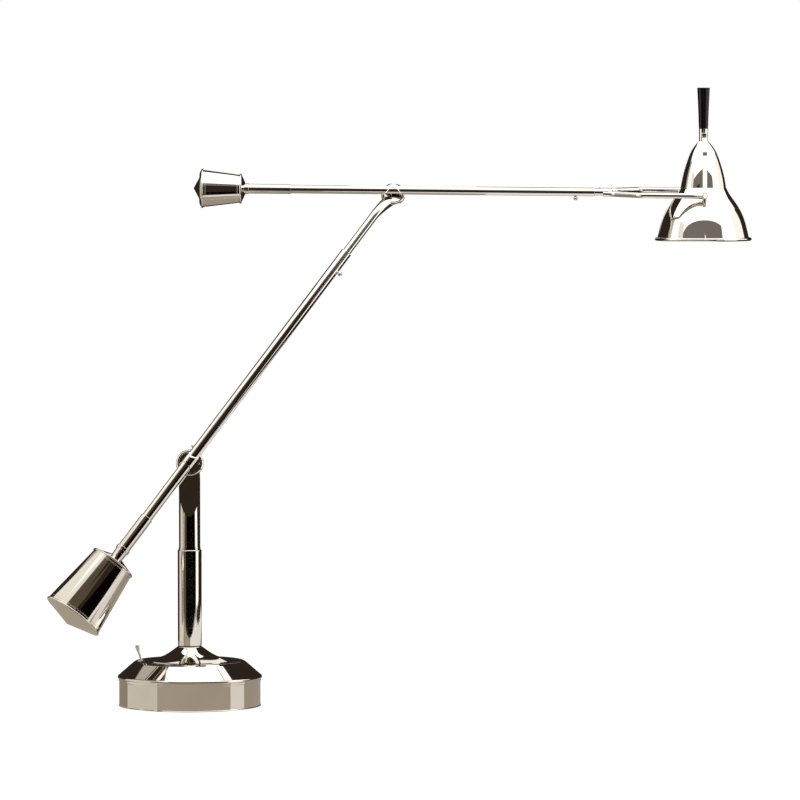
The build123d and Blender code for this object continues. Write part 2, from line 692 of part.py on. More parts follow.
saved("upper_weight_stud", upperArm, bar(upperStud, upperWeightLow + 5, upperWeightTop + studLength))
saved("upper_weight_shoulder", upperArm,
      weightShoulder(upperWeightTop, upperWeightTopRim, upperRingLow, upperSleeveRadius + 0.2, upperStud))
saved("upper_weight", upperArm,
      weightBody(upperWeightTop, upperWeightLow, upperWeightTopRim, upperWeightLowRim, upperStud))
saved("upper_weight_cap", upperArm, weightCap(upperWeightLow, upperWeightLowRim, upperWeightApex, 3.0))
saved("stem_clamp_screw", upperArm,
      Pos(0, 0, clampPlace) * Rot(0, 0, 130) * ballScrew(upperTubeRadius + 1.0, 2.1, 1.3, upperBore + 0.05))

# fork
rootLow = forkRoot - rootLength * 0.3
root = bar(rootRadius, rootLow, rootLow + rootLength)
root = fillet(root.edges(), 1.2)
stem = bar(stemRadius, upperTubeEnd + faceGap, rootLow + 2)
stem += bar(upperBore - runGap, upperTubeEnd - stemInsert, upperTubeEnd + 1)
stem += root
stem -= Pos(0, 0, stemPinPlace) * Rot(0, 0, 90) * Rot(0, 90, 0) * bar(stemPinRadius + seatGap, 0, 20)
frontProng = prong(-1)
rearProng = prong(1)
saved("fork_stem", fork, stem - frontProng - rearProng)
saved("front_prong", fork, frontProng)
saved("rear_prong", fork, rearProng)
saved("stem_pin", fork, Pos(0, 0, stemPinPlace) * Rot(0, 0, 90) * Rot(0, 90, 0)
      * bar(stemPinRadius, seatGap, stemRadius + 1.3))
save("prong_eyes", forkEye(-1) + forkEye(1))
saved("pivot_screws", pivotLine, pivotScrew(-1) + pivotScrew(1))

# shade
saved("stirrup", shade, stirrup())
saved("lower_ferrule", shade, ring(ferruleRadius, studRadius + seatGap, domeTop, strapTop - strapThick))
saved("handle_ferrule", shade, ring(ferruleRadius, studRadius + seatGap, strapTop, handleBottom))
saved("handle_stud", shade, bar(studRadius, bulbCapTop + 7, shadeStudTop - 1))
saved("handle", shade, handle())
saved("shade_dome", shade, shadeDome())
saved("shade_bell", shade, shadeBell())
domeNutTop = domeTop - domeWall - 0.5
saved("dome_nut", shade, hexNut(domeNutFlats, studRadius + seatGap, domeNutTop - domeNutHeight, domeNutTop))
saved("lamp_holder", shade, lampHolder())
holderPlateTop = domeBottom - bellFlangeThick - 0.05
saved("holder_plate", shade,
      ring(holderPlateRadius, holderRadius + seatGap, holderPlateTop - holderPlateThick, holderPlateTop))
saved("bulb_cap", shade, bar(bulbCapRadius, bulbCapBottom, bulbCapTop))
saved("bulb", shade, bulb())
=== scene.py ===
import bpy
import math
import numpy as np
from mathutils import Matrix, Vector


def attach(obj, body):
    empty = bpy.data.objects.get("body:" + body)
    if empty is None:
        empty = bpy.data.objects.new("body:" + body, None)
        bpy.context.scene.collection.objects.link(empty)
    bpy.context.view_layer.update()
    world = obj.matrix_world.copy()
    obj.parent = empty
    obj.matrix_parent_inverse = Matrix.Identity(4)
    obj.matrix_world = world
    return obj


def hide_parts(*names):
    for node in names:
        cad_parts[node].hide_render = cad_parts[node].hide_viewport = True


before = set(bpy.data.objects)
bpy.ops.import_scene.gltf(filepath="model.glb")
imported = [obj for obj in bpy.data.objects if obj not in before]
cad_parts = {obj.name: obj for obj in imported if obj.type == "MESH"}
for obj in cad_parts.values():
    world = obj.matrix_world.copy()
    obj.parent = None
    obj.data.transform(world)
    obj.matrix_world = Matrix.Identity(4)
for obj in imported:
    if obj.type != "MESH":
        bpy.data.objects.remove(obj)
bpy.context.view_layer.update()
scene = bpy.context.scene
scene.view_settings.view_transform = "Standard"
print("frame loaded")

# a long lens from 6 m, as in the studio picture
cameraSetup = {"sensor": 36, "lens": 270, "place": (0.2106, -5.99284, 0.59973), "pitch": 87.2}
camera = bpy.data.objects.new("camera", bpy.data.cameras.new("camera"))
camera.data.sensor_width = cameraSetup["sensor"]
camera.data.lens = cameraSetup["lens"]
camera.location = cameraSetup["place"]
camera.rotation_euler = (math.radians(cameraSetup["pitch"]), 0, 0)
scene.collection.objects.link(camera)
scene.camera = camera
print("camera placed")

# the lines that the lamp's arms follow, in millimetres and degrees
armLines = {
    "elbowHeight": 245.6, "tilt": 18.0, "lowerAngle": 54.3, "lowerReach": 349.1, "upperSlope": 0.57,
    "upperReach": 314.1, "lowerRise": 5.9, "upperRise": 6.1, "prongSpread": 35.5, "prongRise": 2.35,
}


def placeAt(origin, xAxis, zAxis):
    z = Vector(zAxis).normalized()
    x = Vector(xAxis)
    x = (x - z * x.dot(z)).normalized()
    turn = Matrix((x, z.cross(x), z)).transposed().to_4x4()
    return Matrix.Translation(Vector(origin) * 0.001) @ turn @ Matrix.Scale(0.001, 4)


def cosSin(degrees):
    return math.cos(math.radians(degrees)), math.sin(math.radians(degrees))


tiltCos, tiltSin = cosSin(armLines["tilt"])
angleCos, angleSin = cosSin(armLines["lowerAngle"])
slopeCos, slopeSin = cosSin(armLines["upperSlope"])
elbow = Vector((0, 0, armLines["elbowHeight"]))
lowerNormal = Vector((0, -tiltCos, tiltSin))
lowerAim = Vector((angleCos, angleSin * tiltSin, angleSin * tiltCos))
wrist = elbow + lowerAim * armLines["lowerReach"]
upperAim = Vector((slopeCos, 0, -slopeSin))
pivot = wrist + upperAim * armLines["upperReach"]
# the upper joint's face holds the upper arm, and leans from the lower arm by the same tilt
apart = (lowerAim - upperAim * lowerAim.dot(upperAim)).normalized()
faceCos = tiltSin / math.sqrt(1 - lowerAim.dot(upperAim) ** 2)
upperNormal = apart * faceCos + upperAim.cross(apart) * math.sqrt(1 - faceCos ** 2)
pivotSin = armLines["prongRise"] / armLines["prongSpread"]
pivotAim = Vector((0, 1, 0)) * math.sqrt(1 - pivotSin ** 2) + Vector((slopeSin, 0, slopeCos)) * pivotSin
lowerFace = elbow - lowerNormal * armLines["lowerRise"]
upperFace = wrist - upperNormal * armLines["upperRise"]

upright = placeAt((0, 0, 0), (1, 0, 0), (0, 0, 1))
lowerJoint = placeAt(lowerFace, lowerAim, lowerNormal)
lowerArm = placeAt(elbow, lowerNormal, lowerAim)
upperJoint = placeAt(upperFace, upperAim, upperNormal)
upperArm = placeAt(wrist, upperNormal, upperAim)
forkLine = placeAt(wrist, (0, 1, 0), upperAim)
pivotLine = placeAt(pivot, upperAim, pivotAim)
shadeLine = placeAt(pivot, (1, 0, 0), (0, 0, 1))

# how finely the pieces are drawn: turns under "straight" have no rounding and "bend" is a rounding's step,
# in radians; "room" is the share of a side that a rounding may take; "sides" gives a radius and the sides
# below it
fineness = {
    "straight": 0.02, "bend": 0.3, "room": 0.45, "same": 1e-5,
    "sides": ((8, 48), (18, 72), (40, 112), (math.inf, 160)),
}


# an outline is a list of (radius, height, normal radius, normal height), drawn with the metal on its left
def traceCorners(*points):
    corners = [(*point, 0.0)[:3] for point in points]
    traced = []
    for i, (r, z, rounding) in enumerate(corners):
        here = np.array((r, z))
        before = here - np.array(corners[max(i - 1, 0)][:2])
        after = np.array(corners[min(i + 1, len(corners) - 1)][:2]) - here
        if i == 0:
            before = after
        if i == len(corners) - 1:
            after = before
        room = fineness["room"] * min(np.linalg.norm(before), np.linalg.norm(after))
        before = before / np.linalg.norm(before)
        after = after / np.linalg.norm(after)
        turn = math.atan2(before[0] * after[1] - before[1] * after[0], float(before @ after))
        straight = abs(turn) < fineness["straight"]
        if rounding <= 0 or straight:
            traced.append((r, z, before[1], -before[0]))
            if not straight:
                traced.append((r, z, after[1], -after[0]))
            continue
        reach = min(rounding * math.tan(abs(turn) / 2), room)
        bend = math.copysign(reach / math.tan(abs(turn) / 2), turn)
        centre = here - before * reach - bend * np.array((before[1], -before[0]))
        start = math.atan2(-before[0], before[1])
        steps = max(2, int(abs(turn) / fineness["bend"]))
        for k in range(steps + 1):
            angle = start + turn * k / steps
            normal = np.array((math.cos(angle), math.sin(angle)))
            traced.append((*(centre + bend * normal), *normal))
    return traced


def traceArc(centre, radius, start, end, steps=12):
    traced = []
    for k in range(steps + 1):
        c, d = cosSin(start + (end - start) * k / steps)
        traced.append((centre[0] + radius * c, centre[1] + radius * d, c, d))
    return traced


def smoothLine(points, steps):
    # natural cubic through the points, spaced by the distance between them
    spots = np.array(points, float)
    stations = np.concatenate(([0], np.cumsum(np.linalg.norm(np.diff(spots, axis=0), axis=1))))
    gaps = np.diff(stations)
    count = len(spots)
    system = np.eye(count)
    wanted = np.zeros(spots.shape)
    for i in range(1, count - 1):
        system[i, i - 1:i + 2] = gaps[i - 1], 2 * (gaps[i - 1] + gaps[i]), gaps[i]
        wanted[i] = 6 * ((spots[i + 1] - spots[i]) / gaps[i] - (spots[i] - spots[i - 1]) / gaps[i - 1])
    bend = np.linalg.solve(system, wanted)
    line, heading = [], []
    for place in np.linspace(0, stations[-1], steps + 1):
        i = min(int(np.searchsorted(stations, place, side="right")) - 1, count - 2)
        h, left, past = gaps[i], stations[i + 1] - place, place - stations[i]
        first, second = bend[i], bend[i + 1]
        line.append((first * left ** 3 + second * past ** 3) / (6 * h)
                    + (spots[i] / h - first * h / 6) * left + (spots[i + 1] / h - second * h / 6) * past)
        heading.append((second * past ** 2 - first * left ** 2) / (2 * h)
                       + (spots[i + 1] - spots[i]) / h - (second - first) * h / 6)
    heading = np.array(heading)
    return np.array(line), heading / np.linalg.norm(heading, axis=1)[:, None]


def traceCurve(points, steps=20):
    line, heading = smoothLine(points, steps)
    return [(p[0], p[1], t[1], -t[0]) for p, t in zip(line, heading)]


# a form is (points in metres, faces, a normal for each corner of each face)
def moved(place, points, normals):
    spots = np.array(points, float)
    matrix = np.array(place)
    turn = matrix[:3, :3] / np.linalg.norm(matrix[:3, 0])
    return spots @ matrix[:3, :3].T + matrix[:3, 3], np.array(normals, float) @ turn.T


def turned(outline, place, segments=None):
    # turns an outline about the place's z axis
    widest = max(entry[0] for entry in outline)
    segments = segments or next(sides for radius, sides in fineness["sides"] if widest < radius)
    rings, spans, last = [], [], None
    for r, z, nr, nz in outline:
        if last is None or math.dist((r, z), rings[-1]) > fineness["same"]:
            rings.append((r if r > 1e-6 else 0.0, z))
            if last is not None:
                spans.append((len(rings) - 2, len(rings) - 1, last, (nr, nz)))
        last = (nr, nz)
    angles = [2 * math.pi * k / segments for k in range(segments)]
    around = [(math.cos(a), math.sin(a)) for a in angles]
    points, starts = [], []
    for r, z in rings:
        starts.append(len(points))
        points += [(r * c, r * s, z) for c, s in around] if r else [(0.0, 0.0, z)]
    faces, normals = [], []
    for low, high, lowSlant, highSlant in spans:
        for k in range(segments):
            n = (k + 1) % segments
            a, b = starts[low], starts[high]
            lowCorners = [(a + k, k, lowSlant), (a + n, n, lowSlant)]
            highCorners = [(b + n, n, highSlant), (b + k, k, highSlant)]
            if not rings[low][0]:
                lowCorners = [(a, k, lowSlant)]
            elif not rings[high][0]:
                highCorners = [(b, k, highSlant)]
            corners = lowCorners + highCorners
            faces.append([corner[0] for corner in corners])
            normals += [(nr * around[j][0], nr * around[j][1], nz) for _, j, (nr, nz) in corners]
    spots, normals = moved(place, points, normals)
    return spots, faces, normals


def roundSection(sides):
    corners = [cosSin(360 * k / sides) for k in range(sides)]
    return [(*corner, *corner) for corner in corners]


def strapSection(width, thick, edge):
    # a flat bar's section with rounded edges, as (across, out, normal across, normal out)
    section = []
    for a, b, start in ((1, 1, 0), (-1, 1, 90), (-1, -1, 180), (1, -1, 270)):
        centre = (a * (width / 2 - edge), b * (thick / 2 - edge))
        section += traceArc(centre, edge, start, start + 90, 4)
    return section


def swept(line, heading, section, side, place, sizes=None):
    # carries a section along a line; side is the direction of the section's first axis
    points, normals, faces = [], [], []
    count = len(section)
    for i, (spot, ahead) in enumerate(zip(line, heading)):
        ahead = Vector(ahead).normalized()
        across = Vector(side)
        across = (across - ahead * across.dot(ahead)).normalized()
        out = ahead.cross(across)
        size = sizes[i] if sizes else 1.0
        for a, b, na, nb in section:
            points.append(Vector(spot) + (across * a + out * b) * size)
            normals.append(across * na + out * nb)
    order = []
    for i in range(len(line) - 1):
        for k in range(count):
            n = (k + 1) % count
            faces.append([i * count + k, i * count + n, (i + 1) * count + n, (i + 1) * count + k])
            order += [normals[corner] for corner in faces[-1]]
    last = (len(line) - 1) * count
    for start, ahead, turn in ((0, -Vector(heading[0]), -1), (last, Vector(heading[-1]), 1)):
        faces.append([start + k for k in range(count)][::turn])
        order += [ahead.normalized()] * count
    spots, order = moved(place, points, order)
    return spots, faces, order


def makePiece(name, forms, material, body, slot, *nodes):
    points, faces, normals = [], [], []
    for spots, formFaces, formNormals in forms:
        offset = len(points)
        points += [tuple(spot) for spot in spots]
        faces += [[corner + offset for corner in face] for face in formFaces]
        normals += [tuple(normal) for normal in formNormals]
    mesh = bpy.data.meshes.new(name)
    mesh.from_pydata(points, [], faces)
    mesh.polygons.foreach_set("use_smooth", [True] * len(faces))
    mesh.normals_split_custom_set(normals)
    mesh.update()
    piece = bpy.data.objects.new(name, mesh)
    scene.collection.objects.link(piece)
    mesh.materials.append(material)
    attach(piece, body)
    if nodes:
        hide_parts(*nodes)


# shared effects for the materials
def newGroup(name, inputs):
    group = bpy.data.node_groups.new(name, "ShaderNodeTree")
    for label, kind, value in inputs:
        socket = group.interface.new_socket(label, in_out="INPUT", socket_type="NodeSocket" + kind)
        socket.default_value = value
    for label, kind in (("Color", "Color"), ("Roughness", "Float"), ("Height", "Float")):
        group.interface.new_socket(label, in_out="OUTPUT", socket_type="NodeSocket" + kind)
    return group, group.nodes.new("NodeGroupInput").outputs


def addNode(tree, kind, values=None, **settings):
    # each value is set on the input of its key, and a socket is linked to it
    node = tree.nodes.new(kind)
    for key, value in settings.items():
        setattr(node, key, value)
    for key, value in (values or {}).items():
        if isinstance(value, bpy.types.NodeSocket):
            tree.links.new(value, node.inputs[key])
        else:
            node.inputs[key].default_value = value
    return node


def mapRange(tree, source, low, high, toHigh=1.0):
    values = {"Value": source, "From Min": low, "From Max": high, "To Min": 0.0, "To Max": toHigh}
    return addNode(tree, "ShaderNodeMapRange", values).outputs["Result"]


def mixed(tree, kind, factor, first, second):
    values = {"Factor": factor, "A": first, "B": second}
    return addNode(tree, "ShaderNodeMix", values, data_type=kind).outputs["Result"]


def noise(tree, values):
    return addNode(tree, "ShaderNodeTexNoise", values).outputs["Fac"]


def makeBuffedGroup():
    # the marks that a polishing wheel and later hands leave on plated metal
    group, given = newGroup("buffedMarks", [
        ("Smudge Size", "Float", 45.0),
        ("Smudge", "Float", 0.5),
        ("Hairline Size", "Float", 900.0),
        ("Bright Roughness", "Float", 0.05),
        ("Dull Roughness", "Float", 0.12),
        ("Clean Colour", "Color", (0.8, 0.76, 0.7, 1)),
        ("Warm Colour", "Color", (0.75, 0.7, 0.6, 1)),
    ])
    place = addNode(group, "ShaderNodeTexCoord").outputs["Object"]
    smudge = noise(group, {"Vector": place, "Scale": given["Smudge Size"], "Detail": 4.0, "Roughness": 0.55,
                           "Distortion": 0.6})
    warm = noise(group, {"Vector": place, "Scale": 14.0, "Detail": 3.0})
    hairline = noise(group, {"Vector": place, "Scale": given["Hairline Size"], "Detail": 2.0,
                             "Roughness": 0.7})
    smudge = mapRange(group, smudge, 0.42, 0.68)
    warm = mapRange(group, warm, 0.38, 0.66)
    amount = addNode(group, "ShaderNodeMath", {0: smudge, 1: given["Smudge"]}, operation="MULTIPLY").outputs[0]
    addNode(group, "NodeGroupOutput", {
        "Color": mixed(group, "RGBA", warm, given["Clean Colour"], given["Warm Colour"]),
        "Roughness": mixed(group, "FLOAT", amount, given["Bright Roughness"], given["Dull Roughness"]),
        "Height": hairline,
    })
    return group


def makeGrainGroup():
    # a fine irregular surface: cast, moulded, painted or felted
    group, given = newGroup("fineGrain", [
        ("Grain Size", "Float", 600.0),
        ("Patch Size", "Float", 60.0),
        ("Stretch", "Vector", (1.0, 1.0, 1.0)),
        ("Low Colour", "Color", (0.1, 0.1, 0.1, 1)),
        ("High Colour", "Color", (0.2, 0.2, 0.2, 1)),
        ("Low Roughness", "Float", 0.4),
        ("High Roughness", "Float", 0.6),
    ])
    place = addNode(group, "ShaderNodeTexCoord").outputs["Object"]
    stretch = addNode(group, "ShaderNodeVectorMath", {0: place, 1: given["Stretch"]}, operation="MULTIPLY")
    place = stretch.outputs[0]
    grain = noise(group, {"Vector": place, "Scale": given["Grain Size"], "Detail": 5.0, "Roughness": 0.62})
    patch = noise(group, {"Vector": place, "Scale": given["Patch Size"], "Detail": 3.0})
    patch = mapRange(group, patch, 0.3, 0.7, 0.5)
    blend = addNode(group, "ShaderNodeMath", {0: grain, 1: 0.5, 2: patch}, operation="MULTIPLY_ADD")
    blend = blend.outputs[0]
    addNode(group, "NodeGroupOutput", {
        "Color": mixed(group, "RGBA", blend, given["Low Colour"], given["High Colour"]),
        "Roughness": mixed(group, "FLOAT", blend, given["Low Roughness"], given["High Roughness"]),
        "Height": grain,
    })
    return group


buffedMarks = makeBuffedGroup()
fineGrain = makeGrainGroup()


def makeFinish(name, group, values, shader, depth):
    # one material: the group's marks on a principled shader; depth is the relief of its grain in metres
    material = bpy.data.materials.new(name)
    material.use_nodes = True
    tree = material.node_tree
    principled = tree.nodes["Principled BSDF"]
    for key, value in shader.items():
        principled.inputs[key].default_value = value
    marks = addNode(tree, "ShaderNodeGroup", node_tree=group)
    for key, value in values.items():
        marks.inputs[key].default_value = (*value, 1) if "Colour" in key else value
    relief = {"Height": marks.outputs["Height"], "Strength": 1.0, "Distance": depth}
    bump = addNode(tree, "ShaderNodeBump", relief)
    tree.links.new(marks.outputs["Color"], principled.inputs["Base Color"])
    tree.links.new(marks.outputs["Roughness"], principled.inputs["Roughness"])
    tree.links.new(bump.outputs["Normal"], principled.inputs["Normal"])
    return material


nickelLook = {
    "Smudge Size": 42.0, "Smudge": 0.45, "Hairline Size": 1500.0, "Bright Roughness": 0.035,
    "Dull Roughness": 0.1,
    "Clean Colour": (0.83, 0.79, 0.725), "Warm Colour": (0.785, 0.735, 0.655),
}
steelLook = {
    "Smudge Size": 120.0, "Smudge": 0.8, "Hairline Size": 2400.0, "Bright Roughness": 0.18,
    "Dull Roughness": 0.36,
    "Clean Colour": (0.56, 0.56, 0.55), "Warm Colour": (0.5, 0.47, 0.43),
}
brassLook = {
    "Smudge Size": 150.0, "Smudge": 0.8, "Hairline Size": 2600.0, "Bright Roughness": 0.16,
    "Dull Roughness": 0.34,
    "Clean Colour": (0.85, 0.62, 0.28), "Warm Colour": (0.66, 0.44, 0.18),
}
handleLook = {
    "Grain Size": 900.0, "Patch Size": 90.0, "Stretch": (1.0, 1.0, 0.12),
    "Low Colour": (0.0015, 0.001, 0.0008), "High Colour": (0.006, 0.0035, 0.0025),
    "Low Roughness": 0.12, "High Roughness": 0.22,
}
mouldingLook = {
    "Grain Size": 2200.0, "Patch Size": 150.0, "Low Colour": (0.012, 0.012, 0.013),
    "High Colour": (0.028, 0.027, 0.026), "Low Roughness": 0.36, "High Roughness": 0.52,
}
castLook = {
    "Grain Size": 700.0, "Patch Size": 45.0, "Low Colour": (0.06, 0.055, 0.05),
    "High Colour": (0.17, 0.15, 0.13), "Low Roughness": 0.7, "High Roughness": 0.9,
}
paintLook = {
    "Grain Size": 1300.0, "Patch Size": 70.0, "Low Colour": (0.03, 0.03, 0.032),
    "High Colour": (0.06, 0.058, 0.055), "Low Roughness": 0.42, "High Roughness": 0.6,
}
feltLook = {
    "Grain Size": 1100.0, "Patch Size": 60.0, "Stretch": (1.0, 0.45, 1.0),
    "Low Colour": (0.006, 0.006, 0.006), "High Colour": (0.035, 0.034, 0.033),
    "Low Roughness": 0.9, "High Roughness": 1.0,
}
glassLook = {
    "Grain Size": 1800.0, "Patch Size": 60.0, "Low Colour": (0.86, 0.845, 0.81),
    "High Colour": (0.93, 0.92, 0.89), "Low Roughness": 0.22, "High Roughness": 0.32,
}
nickel = makeFinish("polishedNickel", buffedMarks, nickelLook, {"Metallic": 1.0}, 0.0000004)
steel = makeFinish("plainSteel", buffedMarks, steelLook, {"Metallic": 1.0}, 0.000002)
brass = makeFinish("dullBrass", buffedMarks, brassLook, {"Metallic": 1.0}, 0.000002)
handleShine = {"IOR": 1.45, "Specular IOR Level": 0.3, "Coat Weight": 0.1, "Coat Roughness": 0.05}
blackHandle = makeFinish("blackLacquer", fineGrain, handleLook, handleShine, 0.000003)
moulding = makeFinish("blackMoulding", fineGrain, mouldingLook, {"IOR": 1.48}, 0.00001)
castIron = makeFinish("castIron", fineGrain, castLook, {"Metallic": 0.6}, 0.00012)
platePaint = makeFinish("platePaint", fineGrain, paintLook, {"IOR": 1.5}, 0.00002)
felt = makeFinish("blackFelt", fineGrain, feltLook, {"Sheen Weight": 0.25, "Sheen Roughness": 0.5}, 0.0003)
glassShine = {"IOR": 1.5, "Subsurface Weight": 0.35, "Coat Weight": 0.5, "Coat Roughness": 0.04}
opalGlass = makeFinish("opalGlass", fineGrain, glassLook, glassShine, 0.000002)
print("finishes made")

# CAD nodes that keep their own shape take their finish here
finishes = {
    nickel: ["upper_post", "lower_face_screw", "switch_body", "switch_nut", "stem_pin"],
    steel: ["base_screws", "tie_rod", "tie_nut", "post_retainer", "lower_pivot_washer", "lower_pivot_nut",
            "upper_pivot_washer", "upper_pivot_nut", "lower_weight_stud", "upper_weight_stud", "handle_stud",
            "dome_nut", "holder_plate"],
    brass: ["post_bush", "bulb_cap"],
    moulding: ["cord_inlet", "foot_washer", "lamp_holder"],
    castIron: ["base_ballast"],
    platePaint: ["base_plate"],
    felt: ["felt_pad"],
}
for finish, names in finishes.items():
    for name in names:
        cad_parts[name].data.materials.clear()
        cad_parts[name].data.materials.append(finish)


def makePlated(name, body, node, *forms):
    makePiece(name, forms, nickel, body, "plated_metal", node)


# base
baseShape = {
    "drum": 70.8, "lip": 71.3, "foot": 0.4, "bandLow": 25.2, "band": 71.4, "beadLow": 27.6, "bead": 72.4,
    "beadHigh": 31.3, "beadTop": 71.0, "bevelTop": (56.4, 44.0), "deck": (53.8, 45.4), "wall": 1.6,
    "bore": 5.02,
}


def makeBase():
    b = baseShape
    foot, lip, drum, wall, low, high = b["foot"], b["lip"], b["drum"], b["wall"], b["beadLow"], b["beadHigh"]
    inside, deck = drum - wall, b["deck"][1] - wall
    outline = traceCorners(
        (inside, foot), (lip, foot, 0.2), (lip, foot + 0.5, 0.25), (drum, foot + 1.0, 0.3),
        (drum, b["bandLow"], 0.2), (b["band"], b["bandLow"] + 0.5, 0.2), (b["band"], low))
    outline += traceCurve([(b["band"], low), (b["bead"] - 0.15, low + 0.75), (b["bead"], (low + high) / 2),
                           (b["bead"] - 0.35, high - 0.9), (b["beadTop"], high)], 14)
    outline += traceCorners((b["beadTop"], high), (*b["bevelTop"], 3.2), (*b["deck"], 2.2),
                            (b["bore"], b["deck"][1]))
    outline += traceCorners((b["bore"], deck), (b["deck"][0] - 2, deck, 1.0),
                            (b["bevelTop"][0] - 2, b["bevelTop"][1] - 2.2, 1.0), (inside, low + 1.0, 1.0),
                            (inside, foot))
    makePlated("baseCover", "base", "base_shell", turned(outline, upright))


makeBase()

footShape = {
    "curve": [(42.0, 45.9), (33.0, 47.8), (25.6, 50.6), (19.6, 54.2), (15.2, 57.4), (12.6, 59.2)],
    "deck": 45.4, "edge": 0.6, "bore": 5.02,
}


def makeFoot():
    f = footShape
    wide, edge, (neck, shoulder) = f["curve"][0], f["edge"], f["curve"][-1]
    top = shoulder + edge
    outline = traceCorners((f["bore"], f["deck"]), (wide[0], f["deck"], 0.1), wide)
    outline += traceCurve(f["curve"], 40)
    outline += traceArc((neck - edge, shoulder), edge, 0, 90, 5)
    outline += traceCorners((neck - edge, top), (f["bore"], top))
    makePlated("postFoot", "base", "post_foot", turned(outline, upright, 128))


makeFoot()

sleeveShape = {"low": 60.6, "high": 156.8, "outer": 12.0, "bore": 9.0, "plug": 72.6, "rod": 5.02}


def makeSleeve():
    s = sleeveShape
    outline = traceCorners((s["rod"], s["low"]), (s["outer"], s["low"], 0.35), (s["outer"], s["high"], 1.2),
                           (s["bore"], s["high"], 0.2), (s["bore"], s["plug"]), (s["rod"], s["plug"]))
    makePlated("postSleeve", "base", "post_sleeve", turned(outline, upright, 96))


makeSleeve()

# toggle switch's lever, in millimetres from its ball
leverShape = {
    "root": (-48.2, -14.0, 46.7), "lean": 16.0, "ball": 1.6, "neck": 0.9, "middle": 1.25, "tip": 2.2,
    "length": 15.8, "round": 1.4,
}


def makeLever():
    s = leverShape
    leanCos, leanSin = cosSin(s["lean"])
    place = placeAt(s["root"], (0, 1, 0), (-leanSin, 0, leanCos))
    tip, length = s["tip"], s["length"]
    shoulder = (tip, length - s["round"])
    outline = traceArc((0, 0), s["ball"], -90, 55, 14)
    outline += traceCurve([(s["neck"], s["ball"] * 0.82), (s["middle"], length * 0.5), shoulder], 18)
    outline += traceCurve([shoulder, (tip * 0.88, length - 0.62), (tip * 0.5, length - 0.12),
                           (0.0, length)], 10)
    outline[-1] = (0.0, length, 0.0, 1.0)
    makePlated("switchLever", "switch_lever", "switch_lever", turned(outline, place))


makeLever()
print("base made")


# joints
def cupOutline(outer, face, depth, bore):
    lip, floor = face + 0.5, -1.2
    rim = traceCurve([(outer, -2.2), (outer - 0.16, -1.3), (outer - 0.75, -0.65), (lip + 0.9, -0.12),
                      (lip, 0)], 12)
    return (traceCorners((bore, -depth), (outer, -depth, 0.15), (outer, -2.2)) + rim
            + traceCorners((lip, 0), (face + 0.07, 0, 0.05), (face + 0.07, floor), (bore, floor)))


# the strap is "round" over the tube to this half width and, on its far side, "square" to this one
saddleShapes = {
    "lower": {
        "tube": 5.55, "rise": armLines["lowerRise"], "face": 11.1, "dome": 12.3, "round": 6.15, "square": 0.0,
        "spindle": 3.0, "end": 16.0, "swell": 0.0, "cup": (13.9, 11.1, 3.4, 3.05),
    },
    "upper": {
        "tube": 4.3, "rise": armLines["upperRise"], "face": 10.1, "dome": 11.4, "round": 4.8, "square": 5.25,
        "spindle": 2.4, "end": 13.2, "swell": 1.9, "cup": (12.1, 10.1, 3.2, 2.45),
    },
}
strapSteps = {"side": 8, "arc": 24, "width": 12, "hoop": 16}


def strapForm(s, place):
    # the strap that holds the tube, cut to a dome
    points, faces, normals = [], [], []
    side, arc, width, hoopSteps = strapSteps.values()

    def reach(y, z):
        square = min(s["dome"] ** 2 - y * y - z * z, s["face"] ** 2 - y * y)
        return math.sqrt(max(square, 0))

    def addRows(rows):
        # rows of (point, normal), drawn backwards; a strip of faces joins each row to the next
        for first, second in zip(rows, rows[1:]):
            for k in range(len(first) - 1, 0, -1):
                corners = [first[k], second[k], second[k - 1], first[k - 1]]
                gaps = [math.dist(row[k][0], row[k - 1][0]) for row in (first, second)]
                if max(gaps) < fineness["same"]:
                    continue
                faces.append([len(points) + j for j in range(4)])
                points.extend(corner[0] for corner in corners)
                normals.extend(corner[1] for corner in corners)

    heights = [s["rise"] * k / side for k in range(side + 1)]
    outline = [(-s["round"], z, -s["tube"], z, -1.0, 0.0) for z in heights]
    sweep = 96 if s["square"] else 180
    for k in range(1, arc + 1):
        c, d = cosSin(180 - sweep * k / arc)
        outline.append((s["round"] * c, s["rise"] + s["round"] * d,
                        s["tube"] * c, s["rise"] + s["tube"] * d, c, d))
    if not s["square"]:
        outline += [(s["round"], z, s["tube"], z, 1.0, 0.0) for z in heights[-2::-1]]
    sleeve, left, right = [], [], []
    for y, z, innerY, innerZ, slantY, slantZ in outline:
        out, inner = reach(y, z), reach(innerY, innerZ)
        sleeve.append([((out * (2 * k / width - 1), y, z), (0, slantY, slantZ)) for k in range(width + 1)])
        for turn, rows in ((-1, left), (1, right)):
            ends = [(turn * out, y, z), (turn * inner, innerY, innerZ)][::turn]
            rows.append([(end, Vector(end).normalized()) for end in ends])
    for rows in (sleeve, left, right):
        addRows(rows)
    if s["square"]:
        square, near = [], -0.4
        for j in range(side + 1):
            y = near + (s["square"] - near) * j / side
            hoop = math.sqrt(s["dome"] ** 2 - y * y)
            widest = math.asin(min(1.0, math.sqrt(s["face"] ** 2 - y * y) / hoop))
            edge, top = hoop * math.sin(widest), hoop * math.cos(widest)
            arch = [widest * k / hoopSteps for k in range(-hoopSteps, hoopSteps + 1)]
            arch = [Vector((hoop * math.sin(a), y, hoop * math.cos(a))) for a in arch]
            square.append([((-edge, y, z), (-1, 0, 0)) for z in (0.0, top)]
                          + [(tuple(spot), spot.normalized()) for spot in arch]
                          + [((edge, y, z), (1, 0, 0)) for z in (top, 0.0)])
        addRows(square)
        far = [(spot, (0, 1, 0)) for spot, _ in square[-1]]
        addRows([far, [((x, y, 0.0), slant) for (x, y, _), slant in far]])
    spots, normals = moved(place, points, normals)
    return spots, faces, normals


